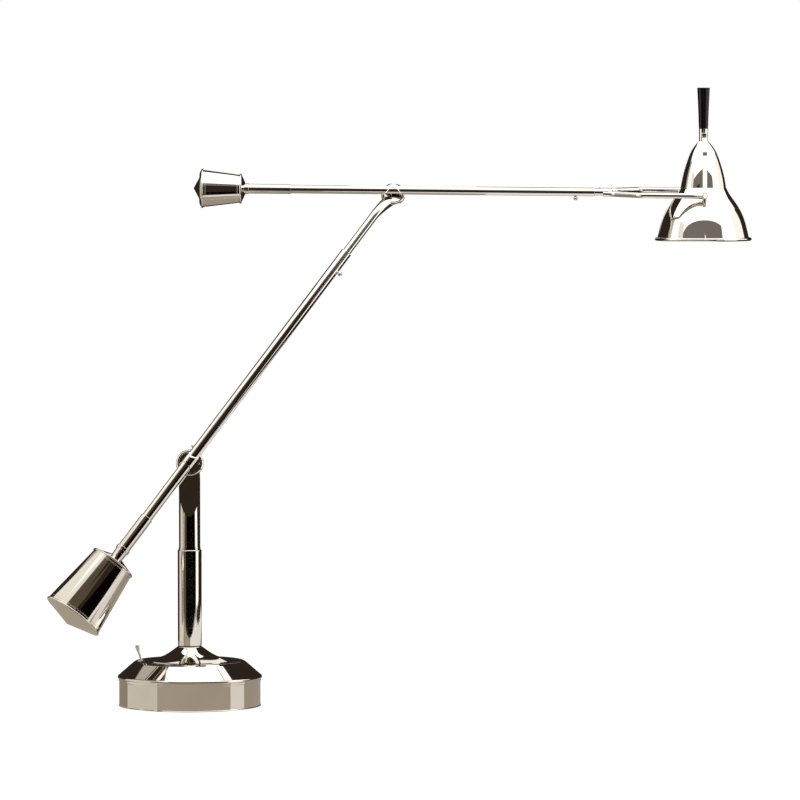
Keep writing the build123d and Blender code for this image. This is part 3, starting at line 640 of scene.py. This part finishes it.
def makeSaddle(side, place):
    s = saddleShapes[side]
    face = traceCorners((0, -s["end"]), (s["spindle"], -s["end"], 0.3), (s["spindle"], -1.15),
                        (s["face"], -1.15), (s["face"], -0.05, 0.12), (s["face"] - 0.2, 0.0, 0.1),
                        (2.0, s["swell"]), (0, s["swell"]))
    makePlated(side + "Saddle", side + "_arm", side + "_saddle", turned(face, place, 96), strapForm(s, place))


def makeCup(side, place, body):
    outline = cupOutline(*saddleShapes[side]["cup"])
    makePlated(side + "Cup", body, side + "_cup", turned(outline, place, 96))


makeSaddle("lower", lowerJoint)
makeSaddle("upper", upperJoint)
makeCup("lower", lowerJoint, "post")
makeCup("upper", upperJoint, "knuckle")


# arms
def tubeOutline(outer, bore, low, high, edge=0.25):
    return traceCorners((bore, low), (outer, low, edge), (outer, high, edge), (bore, high, 0.1), (bore, low))


def sleeveOutline(bore, tube, ringOuter, low, ringLow, ringHigh, high):
    # end sleeve with its collar
    corners = [(bore, low)]
    if ringLow > low:
        corners += [(tube, low, 0.2), (tube, ringLow, 0.15)]
    corners += [(ringOuter, ringLow, 0.4), (ringOuter, ringHigh, 0.4), (tube, ringHigh, 0.15)]
    return traceCorners(*corners, (tube, high, 0.4), (bore, high), (bore, low))


def traceBead(bead, middle):
    # the round edge of a weight's shoulder or cap, a millimetre to each side of its middle
    return traceArc((bead - 1, middle), 1.0, -90, 90, 12)


def shoulderOutline(bead, beadAt, coneStart, neck, neckRadius, topRadius, top, bore):
    outline = traceCorners((bore, beadAt - 1), (bead - 1, beadAt - 1)) + traceBead(bead, beadAt)
    corners = [(bead - 1, beadAt + 1), (coneStart, beadAt + 1, 0.08), (neckRadius, neck, 0.3)]
    if top > neck:
        corners += [(topRadius, neck, 0.1), (topRadius, top)]
    return outline + traceCorners(*corners, (bore, max(top, neck)))


def bodyOutline(high, low, highRadius, lowRadius, grooves, bore):
    slope = (lowRadius - highRadius) / (high - low)
    corners = [(bore, low), (lowRadius, low, 0.1)]
    for place in sorted(grooves):
        for edge, depth in ((-0.4, 0), (-0.4, 0.35), (0.4, 0.35), (0.4, 0)):
            station = place + edge
            corners.append((lowRadius - slope * (station - low) - depth, station, 0.12))
    return traceCorners(*corners, (highRadius, high, 0.1), (bore, high), (bore, low))


def capOutline(bead, beadAt, edge, apex, knee=()):
    start = (edge, beadAt - 1)
    if knee:
        point = traceCorners((0, apex), knee[-1]) + traceCurve([*knee[::-1], start], 14)
    else:
        point = traceCorners((0, apex), start)
    return (point + traceCorners(start, (bead - 1, beadAt - 1)) + traceBead(bead, beadAt)
            + traceCorners((bead - 1, beadAt + 1), (0, beadAt + 1)))


def ballScrewForm(arm, station, angle, root, reach, shank, ball):
    # screw that stands out sideways from an arm, with a ball for a head
    along = arm.to_3x3().normalized()
    out = along @ Vector((*cosSin(angle), 0))
    base = arm @ Vector((0, 0, station))
    place = placeAt(base * 1000, along @ Vector((0, 0, 1)), out)
    start = math.asin(-math.sqrt(1 - (shank / ball) ** 2))
    outline = traceCorners((0, root), (shank, root, 0.1), (shank, reach + ball * math.sin(start)))
    return turned(outline + traceArc((0, reach), ball, math.degrees(start), 90, 18), place, 40)


lowerArmShape = {
    "tube": (5.55, 4.35, -117.5, 268.0), "sleeve": (5.57, 6.4, 7.3, -117.5, -114.2, -110.6, -72.0),
    "shoulder": (23.8, -129.4, 22.5, -122.5, 6.7, 6.2, -117.5, 4.07),
    "body": (-130.4, -195.0, 22.8, 30.6, (-132.6, -192.8), 4.07),
    "cap": (31.6, -196.0, 30.3, -206.0),
    "screws": {
        "rodClampScrew": ("rod_clamp_screw", 245.5, 82.0, 4.4, 8.19, 1.5, 2.4),
        "armSetScrew": ("arm_set_screw", 14.5, -105.0, 5.6, 7.05, 1.0, 1.5),
    },
}
upperArmShape = {
    "tube": (4.3, 3.3, -147.0, 203.6), "sleeve": (4.32, 4.95, 5.6, -149.4, -149.4, -146.6, -103.6),
    "shoulder": (15.4, -154.5, 14.1, -149.4, 5.15, 5.15, -149.4, 3.22),
    "body": (-155.5, -192.3, 14.4, 19.2, (-157.7, -190.1), 3.22),
    "cap": (20.2, -193.3, 18.9, -202.2, [(17.17, -195.46), (11.11, -196.3)]),
    "screws": {"stemClampScrew": ("stem_clamp_screw", 184.8, 130.0, 3.4, 6.56, 1.3, 2.1)},
}


def makeArm(side, place, s):
    body = side + "_arm"
    for name, node, sides, outline in (
            ("Tube", "arm_tube", 64, tubeOutline(*s["tube"])),
            ("EndSleeve", "end_sleeve", 64, sleeveOutline(*s["sleeve"])),
            ("WeightShoulder", "weight_shoulder", 112, shoulderOutline(*s["shoulder"])),
            ("WeightBody", "weight", 112, bodyOutline(*s["body"])),
            ("WeightCap", "weight_cap", 112, capOutline(*s["cap"]))):
        makePlated(side + name, body, f"{side}_{node}", turned(outline, place, sides))
    for name, (node, *screw) in s["screws"].items():
        makePlated(name, body, node, ballScrewForm(place, *screw))


makeArm("lower", lowerArm, lowerArmShape)
makeArm("upper", upperArm, upperArmShape)

# the rod that slides in the lower tube and bends up to the upper joint
knuckleShape = {
    "rod": 4.3, "insert": 228.0, "bend": 34.0, "straight": 11.5, "neck": 6.5, "taper": 1.15, "drop": 5.8,
    "boss": 6.85, "cut": -3.2, "bar": 5.3, "barTop": -10.1, "end": -10.0, "hole": 2.45, "steps": 32,
}


def makeKnuckle():
    k = knuckleShape
    start = wrist - lowerAim * k["bend"]
    middle = start + lowerAim * k["straight"]
    end = upperFace - upperNormal * k["drop"]
    line, heading, sizes = [], [], []
    for i in range(k["steps"] + 1):
        t = i / k["steps"]
        line.append(start * (1 - t) ** 2 + middle * 2 * t * (1 - t) + end * t * t)
        heading.append(((middle - start) * (1 - t) + (end - middle) * t).normalized())
        sizes.append(k["rod"] + (k["neck"] - k["rod"]) * t ** k["taper"])
    neck = swept(line, heading, roundSection(48), lowerAim.cross(upperNormal), upright, sizes)
    bendAt = armLines["lowerReach"] - k["bend"]
    rod = traceCorners((0, k["insert"]), (k["rod"], k["insert"], 0.4), (k["rod"], bendAt + 0.05))
    top = math.degrees(math.asin((k["cut"] + k["drop"]) / k["boss"]))
    low = -math.degrees(math.acos(k["bar"] / k["boss"]))
    boss = traceCorners((k["hole"], k["end"]), (k["bar"], k["end"], 0.3), (k["bar"], k["barTop"]))
    boss += traceArc((0, -k["drop"]), k["boss"], low, top, 22)
    boss += traceCorners((boss[-1][0], k["cut"]), (k["hole"], k["cut"]))
    forms = neck, turned(rod, lowerArm, 48), turned(boss, upperJoint, 96)
    makePlated("knuckleRod", "knuckle", "knuckle_rod", *forms)


makeKnuckle()
print("arms made")

# fork
forkShape = {
    "stem": 3.55, "start": 203.65, "plug": 3.25, "plugLow": 170.0, "root": 4.4, "rootLow": 212.7,
    "rootHigh": 221.7, "prong": 2.8, "side": 2.6, "rise": 1.6, "bendOut": 222.0, "bendIn": 251.0,
    "prongEnd": 307.6, "bend": 14.0, "collar": 3.25, "collarEnd": 311.6, "eye": 3.0, "hole": 1.55,
    "eyeIn": 32.1, "eyeOut": 38.8,
}


def filletedLine(points, radius, steps=14):
    # straight runs joined by round bends
    spots = [Vector(point) for point in points]
    line, heading = [spots[0]], [(spots[1] - spots[0]).normalized()]
    for i in range(1, len(spots) - 1):
        before = (spots[i] - spots[i - 1]).normalized()
        after = (spots[i + 1] - spots[i]).normalized()
        turn = before.angle(after)
        reach = radius * math.tan(turn / 2)
        centre = spots[i] - before * reach + (after - before * after.dot(before)).normalized() * radius
        start = spots[i] - before * reach - centre
        axis = before.cross(after).normalized()
        for k in range(steps + 1):
            spin = Matrix.Rotation(turn * k / steps, 3, axis)
            line.append(centre + spin @ start)
            heading.append(spin @ before)
    line.append(spots[-1])
    heading.append((spots[-1] - spots[-2]).normalized())
    return line, heading


def pivotSide(side):
    return pivotLine if side > 0 else pivotLine @ Matrix.Rotation(math.pi, 4, "X")


def makeFork():
    f = forkShape
    stem = traceCorners((0, f["plugLow"]), (f["plug"], f["plugLow"], 0.3), (f["plug"], f["start"]),
                        (f["stem"], f["start"], 0.1), (f["stem"], f["rootLow"], 0.2),
                        (f["root"], f["rootLow"], 1.2), (f["root"], f["rootHigh"], 1.2), (0, f["rootHigh"]))
    makePlated("forkStem", "fork", "fork_stem", turned(stem, forkLine, 64))
    eyes = []
    for side, name, node in ((-1, "frontProng", "front_prong"), (1, "rearProng", "rear_prong")):
        root = (side * f["side"], side * f["rise"])
        tip = (side * armLines["prongSpread"], side * armLines["prongRise"])
        route = [(*root, f["rootLow"]), (*root, f["bendOut"]), (*tip, f["bendIn"]), (*tip, f["prongEnd"])]
        line, heading = filletedLine(route, f["bend"])
        prong = swept(line, heading, roundSection(40), (0, 1, 0), forkLine, [f["prong"]] * len(line))
        makePlated(name, "fork", node, prong)
        collar = traceCorners((0, f["prongEnd"]), (f["collar"], f["prongEnd"], 0.3),
                              (f["collar"], f["collarEnd"], 0.3), (0, f["collarEnd"]))
        eye = traceCorners((f["hole"], f["eyeIn"]), (f["eye"], f["eyeIn"], 0.35),
                           (f["eye"], f["eyeOut"], 0.35), (f["hole"], f["eyeOut"]), (f["hole"], f["eyeIn"]))
        collarPlace = forkLine @ Matrix.Translation((*tip, 0))
        eyes += [turned(collar, collarPlace, 40), turned(eye, pivotSide(side), 40)]
    makePlated("prongEyes", "fork", "prong_eyes", *eyes)


makeFork()

screwShape = {"shank": 1.5, "head": 2.75, "start": 30.2, "face": 38.85, "top": 40.45}


def makePivotScrews():
    s = screwShape
    screw = traceCorners((0, s["start"]), (s["shank"], s["start"], 0.1), (s["shank"], s["face"]),
                         (s["head"], s["face"], 0.1), (s["head"], s["top"], 0.96), (0, s["top"]))
    screws = [turned(screw, pivotSide(side), 48) for side in (1, -1)]
    makePlated("pivotScrews", "shade", "pivot_screws", *screws)


makePivotScrews()
print("fork made")

# stirrup over the shade
stirrupShape = {
    "width": 4.6, "thick": 1.7, "inner": 30.1, "top": 61.4, "corner": 27.0, "end": 2.9, "drop": 2.05,
    "edge": 0.3, "crown": 4.55,
}


def makeStirrup():
    s = stirrupShape
    drop, end, top, crown, half = s["drop"], s["end"], s["top"], s["crown"], s["thick"] / 2
    middle, height = s["inner"] + half, top - half
    route = [(0, -middle, -drop), (0, -middle, height), (0, middle, height), (0, middle, drop)]
    line, heading = filletedLine(route, s["corner"] - half, 24)
    forms = [swept(line, heading, strapSection(s["width"], s["thick"], s["edge"]), (1, 0, 0), shadeLine)]
    disc = traceCorners((0, -half), (end, -half, s["edge"]), (end, half, s["edge"]), (0, half))
    for side in (-1, 1):
        place = shadeLine @ Matrix.Translation((0, side * middle, side * drop))
        forms.append(turned(disc, place @ Matrix.Rotation(math.pi / 2, 4, "X"), 48))
    low = top - s["thick"]
    knob = traceCorners((0, low), (crown, low, 0.2), (crown, top, 0.3), (0, top))
    makePlated("stirrup", "shade", "stirrup", *forms, turned(knob, shadeLine, 48))


makeStirrup()

# shade
shadeShape = {
    "dome": [(23.0, 5.6), (21.6, 14.4), (19.4, 23.5), (15.8, 34.6), (10.1, 46.4), (5.2, 52.3)], "wall": 0.9,
    "bell": [(23.8, 4.0), (27.0, -1.6), (32.3, -9.0), (36.9, -16.3), (40.7, -24.3), (43.9, -34.7),
             (46.6, -46.4)],
    "step": 5.6, "flange": (19.8, 3.3), "rim": (47.4, -46.4, 1.7), "studHole": 2.42,
}


def makeShade():
    s = shadeShape
    wall, hole, step, flange = s["wall"], s["studHole"], s["step"], s["flange"]
    wide, tip = s["dome"][0], s["dome"][-1]
    inside = [(r - wall, z) for r, z in s["dome"][:-1]] + [(tip[0] - 1.2 * wall, tip[1] - wall)]
    dome = traceCorners((inside[0][0], step), (wide[0], step)) + traceCurve(s["dome"], 44)
    dome += traceCorners(tip, (hole, tip[1])) + traceCorners((hole, inside[-1][1]), inside[-1])
    dome += traceCurve(inside[::-1], 30)
    makePlated("shadeDome", "shade", "shade_dome", turned(dome, shadeLine, 144))
    outer = s["bell"]
    inner = [(r - wall, z - wall * 0.6) for r, z in outer[:-1]] + [(outer[-1][0] - wall, outer[-1][1])]
    inner[0] = (outer[0][0] - wall, flange[1])
    bell = traceCurve(outer[::-1], 56)
    bell += traceCorners(outer[0], (outer[0][0] - 0.6, step, 0.3), (flange[0], step), flange, inner[0])
    bell += traceCurve(inner, 44)
    rim = traceArc(s["rim"][:2], s["rim"][2], 0, 360, 28)
    makePlated("shadeBell", "shade", "shade_bell", turned(bell, shadeLine, 160), turned(rim, shadeLine, 160))


makeShade()

handleShape = {
    "ferrules": {
        "lowerFerrule": ("lower_ferrule", 52.3, 59.7), "handleFerrule": ("handle_ferrule", 61.4, 65.2),
    },
    "ferrule": 4.55, "stud": 2.42, "side": [(4.7, 65.2), (5.15, 79.0), (5.75, 93.0), (6.4, 106.2)],
    "top": 106.8, "edge": 0.5, "dish": 4.9, "dishDepth": 0.8, "dishSteps": 8,
}


def makeHandle():
    h = handleShape
    top, side, dish, depth, steps = h["top"], h["side"], h["dish"], h["dishDepth"], h["dishSteps"]
    for name, (node, low, high) in h["ferrules"].items():
        ring = tubeOutline(h["ferrule"], h["stud"], low, high, 0.2)
        makePlated(name, "shade", node, turned(ring, shadeLine, 56))
    grip = traceCorners((h["stud"], side[0][1]), side[0]) + traceCurve(side, 20)
    wide, shoulder = side[-1]
    grip += traceCurve([side[-1], (wide - 0.12, shoulder + 0.45), (wide - h["edge"], top)], 6)
    grip += traceCorners((wide - h["edge"], top), (dish, top))
    bowl = (dish ** 2 + depth ** 2) / (2 * depth)
    reach = math.degrees(math.asin(dish / bowl))
    for k in range(steps + 1):
        c, d = cosSin(reach * (1 - k / steps))
        grip.append((bowl * d, top - depth + bowl * (1 - c), -d, c))
    makePiece("handle", [turned(grip, shadeLine, 72)], blackHandle, "shade", "black_gloss", "handle")


makeHandle()

bulbShape = {"globe": 17.5, "centre": -24.0, "neck": 7.2, "top": -6.5, "swell": 3.0, "steps": 8}


def makeBulb():
    b = bulbShape
    swell, steps = b["swell"], b["steps"]
    reach = b["globe"] + swell
    tilt = math.degrees(math.acos((b["neck"] + swell) / reach))
    kneeRadius, kneeHeight = b["neck"] + swell, b["centre"] + reach * math.sin(math.radians(tilt))
    outline = traceArc((0, b["centre"]), b["globe"], -90, tilt, 40)
    for k in range(1, steps + 1):
        c, d = cosSin(180 + tilt - tilt * k / steps)
        outline.append((kneeRadius + swell * c, kneeHeight + swell * d, -c, -d))
    outline = [entry for entry in outline if entry[1] < b["top"]]
    outline.append((outline[-1][0], b["top"], 1.0, 0.0))
    makePiece("bulb", [turned(outline, shadeLine, 96)], opalGlass, "shade", "bulb_glass", "bulb")


makeBulb()
print("shade made")


# floor, studio and light
floorLook = {
    "size": 9.0, "paper": (0.3, 0.3, 0.3), "glow": 0.82, "plain": (0.8, 0.8, 0.8),
    # painted light and shade of the table, seen only in the metal: each colour starts at a line that leaves
    # the drum where its face points this many degrees from the front, and runs on the way a mirror there would
    # send it
    "first": (0.29, 0.25, 0.2), "drum": 0.0708, "soft": 0.0005, "cameraTurn": 2,
    "lightAndShadeBands": [(-59.5, (0.64, 0.61, 0.54)), (-25.4, (0.41, 0.355, 0.295)), (36.9, (0.82, 0.78, 0.76)),
              (51.8, (0.38, 0.335, 0.29))],
    # this far out the table ends
    "edge": 0.62, "fade": 0.12, "far": (0.03, 0.02, 0.015),
}


# the table's painted light and shade, which only glossy rays see
def paintedTableReflection(tree):
    look = floorLook
    place = addNode(tree, "ShaderNodeTexCoord").outputs["Object"]
    across = addNode(tree, "ShaderNodeSeparateXYZ", {0: place}).outputs["X"]
    rightHalf = mapRange(tree, across, 0.0, 2 * look["soft"])
    colour = (*look["first"], 1)
    for angle, band in look["lightAndShadeBands"]:
        faceCos, faceSin = cosSin(angle)
        side = Vector(cosSin(2 * angle - look["cameraTurn"]))
        start = Vector((faceSin, -faceCos)).dot(side) * look["drum"]
        past = addNode(tree, "ShaderNodeVectorMath", {0: place, 1: (*side, 0)}, operation="DOT_PRODUCT")
        mask = mapRange(tree, past.outputs["Value"], start - look["soft"], start + look["soft"])
        if angle > 0:
            mask = addNode(tree, "ShaderNodeMath", {0: mask, 1: rightHalf}, operation="MULTIPLY").outputs[0]
        colour = mixed(tree, "RGBA", mask, colour, (*band, 1))
    distance = addNode(tree, "ShaderNodeVectorMath", {0: place}, operation="LENGTH").outputs["Value"]
    beyond = mapRange(tree, distance, look["edge"], look["edge"] + look["fade"])
    return mixed(tree, "RGBA", beyond, colour, (*look["far"], 1))


def newSheet(name, corners):
    # a flat sheet of the studio, with an empty material
    mesh = bpy.data.meshes.new(name)
    mesh.from_pydata(corners, [], [list(range(len(corners)))])
    sheet = bpy.data.objects.new(name, mesh)
    scene.collection.objects.link(sheet)
    material = bpy.data.materials.new(name)
    material.use_nodes = True
    material.node_tree.nodes.clear()
    mesh.materials.append(material)
    return sheet, material.node_tree


def chosen(tree, path, ray, other, shader):
    # the shader on this kind of ray, and the other one elsewhere
    return addNode(tree, "ShaderNodeMixShader", {"Fac": path.outputs[ray], 1: other, 2: shader}).outputs[0]


def makeFloor():
    look, size = floorLook, floorLook["size"]
    corners = [(-size, -size, 0), (size, -size, 0), (size, size, 0), (-size, size, 0)]
    floor, tree = newSheet("studioFloor", corners)
    path = addNode(tree, "ShaderNodeLightPath")
    # glossy rays see the table's painted light and shade
    paintedReflection = addNode(tree, "ShaderNodeEmission", {"Color": paintedTableReflection(tree)}).outputs[0]
    paper = addNode(tree, "ShaderNodeBsdfDiffuse", {"Color": (*look["paper"], 1)}).outputs[0]
    glow = addNode(tree, "ShaderNodeEmission", {"Strength": look["glow"]}).outputs[0]
    lit = addNode(tree, "ShaderNodeAddShader", {0: paper, 1: glow}).outputs[0]
    plain = addNode(tree, "ShaderNodeBsdfDiffuse", {"Color": (*look["plain"], 1)}).outputs[0]
    seen = chosen(tree, path, "Is Camera Ray", plain, lit)
    whole = chosen(tree, path, "Is Glossy Ray", seen, paintedReflection)
    addNode(tree, "ShaderNodeOutputMaterial", {"Surface": whole})


makeFloor()


def makeCard(name, corners, colour):
    # a studio card that only reflections see
    card, tree = newSheet(name, corners)
    glow = addNode(tree, "ShaderNodeEmission", {"Color": (*colour, 1)}).outputs[0]
    addNode(tree, "ShaderNodeOutputMaterial", {"Surface": glow})
    card.visible_camera = False
    card.visible_diffuse = False
    card.visible_shadow = False
    card.visible_transmission = False


# cards that lie flat: height, colour, corners seen from above
flatCards = {
    "sky": (0.95, (1.6, 1.6, 1.6),
            [(-0.4, -0.45), (1.3, -0.45), (1.3, 0.7), (0.9, 0.5), (0.5, 0.35), (-0.4, 0.35)]),
    "skyRear": (0.95, (1.6, 1.6, 1.6), [(0.16, 0.35), (0.3, 0.35), (0.3, 0.75), (0.16, 0.75)]),
    # the table cards paint its shade on the left and its light in front and to the right, for reflections only
    "tableShadeLeft": (0.028, (0.43, 0.375, 0.315), [(-0.34, -0.14), (-0.09, -0.14), (-0.09, 0.3), (-0.34, 0.3)]),
    "tableLightFront": (0.002, (1.0, 0.98, 0.97), [(-0.4, -1.7), (1.1, -1.7), (1.1, -0.62), (-0.4, -0.62)]),
    "tableLightRight": (0.03, (0.9, 0.87, 0.86),
                   [(0.12, -0.4), (0.62, -0.4), (0.62, 0.62), (0.3, 0.62), (0.3, -0.15), (0.12, -0.25)]),
}
for name, (height, colour, corners) in flatCards.items():
    makeCard(name, [(x, y, height) for x, y in corners], colour)

# cards that stand in a row in front of the lamp: left, right, low edge, high edge, colour
black, brown, olive = (0.002, 0.0015, 0.001), (0.03, 0.021, 0.015), (0.1, 0.078, 0.055)
hill, cream, white = (0.2, 0.18, 0.17), (0.78, 0.74, 0.66), (1.6, 1.6, 1.6)
frontRow = -0.45
frontCards = {
    "frontFoot": (-1.0, 0.06, 0.0, 0.03, (0.4, 0.345, 0.285)),
    "frontFar": (-1.0, -0.3, 0.03, 0.3, olive),
    "frontOlive": (-1.0, -0.12, 0.3, 0.62, olive),
    "frontHigh": (-1.0, -0.15, 0.62, 0.74, olive),
    "frontBlack": (-0.3, 0.06, 0.03, 0.3, black),
    "frontMiddle": (-0.12, 0.05, 0.3, 0.36, black),
    "frontDusk": (-0.12, 0.05, 0.36, 0.455, olive),
    "frontShade": (-0.12, -0.05, 0.455, 0.62, olive),
    "frontWarm": (-0.05, 0.05, 0.455, 0.62, brown),
    "frontLow": (0.06, 1.12, 0.03, 0.3, black),
    "frontBrown": (0.05, 1.12, 0.3, 0.62, brown),
    "hillFar": (-1.0, -0.15, 0.74, 0.86, hill),
    "hillLeft": (-0.15, -0.02, 0.62, 0.86, hill),
    "hillGap": (-0.02, 0.3, 0.62, 0.69, brown),
    "hillMiddle": (-0.02, 0.3, 0.69, 0.86, hill),
    "hillRight": (0.3, 1.12, 0.62, 0.86, hill),
    "frontTop": (-1.0, 1.12, 0.86, 0.96, white),
}
for name, (left, right, low, high, colour) in frontCards.items():
    corners = [(left, frontRow, low), (right, frontRow, low), (right, frontRow, high), (left, frontRow, high)]
    makeCard(name, corners, colour)

# cards that stand elsewhere: start, end, low edge, high edge, colour
sideCards = {
    "strapLight": ((0.533, -0.448), (0.55, -0.448), 0.43, 0.69, white),
    "leftCard": ((-0.31, -0.19), (-0.31, 0.13), 0.0, 0.28, cream),
    "leftMiddle": ((-0.31, -0.45), (-0.31, 0.13), 0.28, 0.5, (0.97, 0.95, 0.9)),
    "leftFront": ((-0.31, -0.45), (-0.31, -0.19), 0.5, 0.96, (0.97, 0.95, 0.9)),
    "leftHigh": ((-0.31, -0.19), (-0.31, 0.13), 0.5, 0.96, (1.5, 1.48, 1.42)),
    "leftRear": ((-0.31, 0.13), (-0.31, 0.3), 0.35, 0.96, (0.5, 0.47, 0.42)),
    "rightCard": ((1.12, -0.45), (1.3, 0.07), 0.0, 1.15, (1.5, 1.48, 1.46)),
    "rightLow": ((0.8, -0.4), (1.12, -0.4), 0.0, 0.3, (1.1, 1.05, 0.98)),
    "rightRear": ((1.3, 0.07), (1.3, 0.62), 0.35, 1.15, (1.25, 1.22, 1.2)),
    "rearWindow": ((-0.22, 2.2), (0.22, 2.2), 0.6, 1.8, (1.0, 0.98, 0.96)),
}
for name, (start, end, low, high, colour) in sideCards.items():
    makeCard(name, [(*start, low), (*end, low), (*end, high), (*start, high)], colour)

roomLook = {"dark": (0.03, 0.02, 0.016), "fill": 0.6}
lamps = {
    "keyLamp": {"place": (-0.6, -1.2, 2.2), "size": 1.6, "power": 22},
    "fillLamp": {"place": (1.4, -0.9, 1.9), "size": 1.4, "power": 12},
}
lampTarget = (0.2, 0.0, 0.2)


def makeWorld():
    # white to the camera, dark to the metal and an even fill to the rest
    world = bpy.data.worlds.new("studio")
    world.use_nodes = True
    scene.world = world
    tree = world.node_tree
    tree.nodes.clear()
    path = addNode(tree, "ShaderNodeLightPath")
    room, fill, back = [
        addNode(tree, "ShaderNodeBackground", {"Color": (*colour, 1), "Strength": strength}).outputs[0]
        for colour, strength in ((roomLook["dark"], 1.0), ((1, 1, 1), roomLook["fill"]), ((1, 1, 1), 1.0))]
    glossy = chosen(tree, path, "Is Glossy Ray", fill, room)
    addNode(tree, "ShaderNodeOutputWorld", {"Surface": chosen(tree, path, "Is Camera Ray", glossy, back)})


def makeLamp(name, values):
    lamp = bpy.data.objects.new(name, bpy.data.lights.new(name, "AREA"))
    lamp.data.shape = "RECTANGLE"
    lamp.data.size = lamp.data.size_y = values["size"]
    lamp.data.energy = values["power"]
    lamp.location = values["place"]
    lamp.rotation_euler = (Vector(lampTarget) - lamp.location).to_track_quat("-Z", "Y").to_euler()
    lamp.visible_glossy = False
    lamp.visible_camera = False
    scene.collection.objects.link(lamp)


makeWorld()
for name, values in lamps.items():
    makeLamp(name, values)
print("studio made")
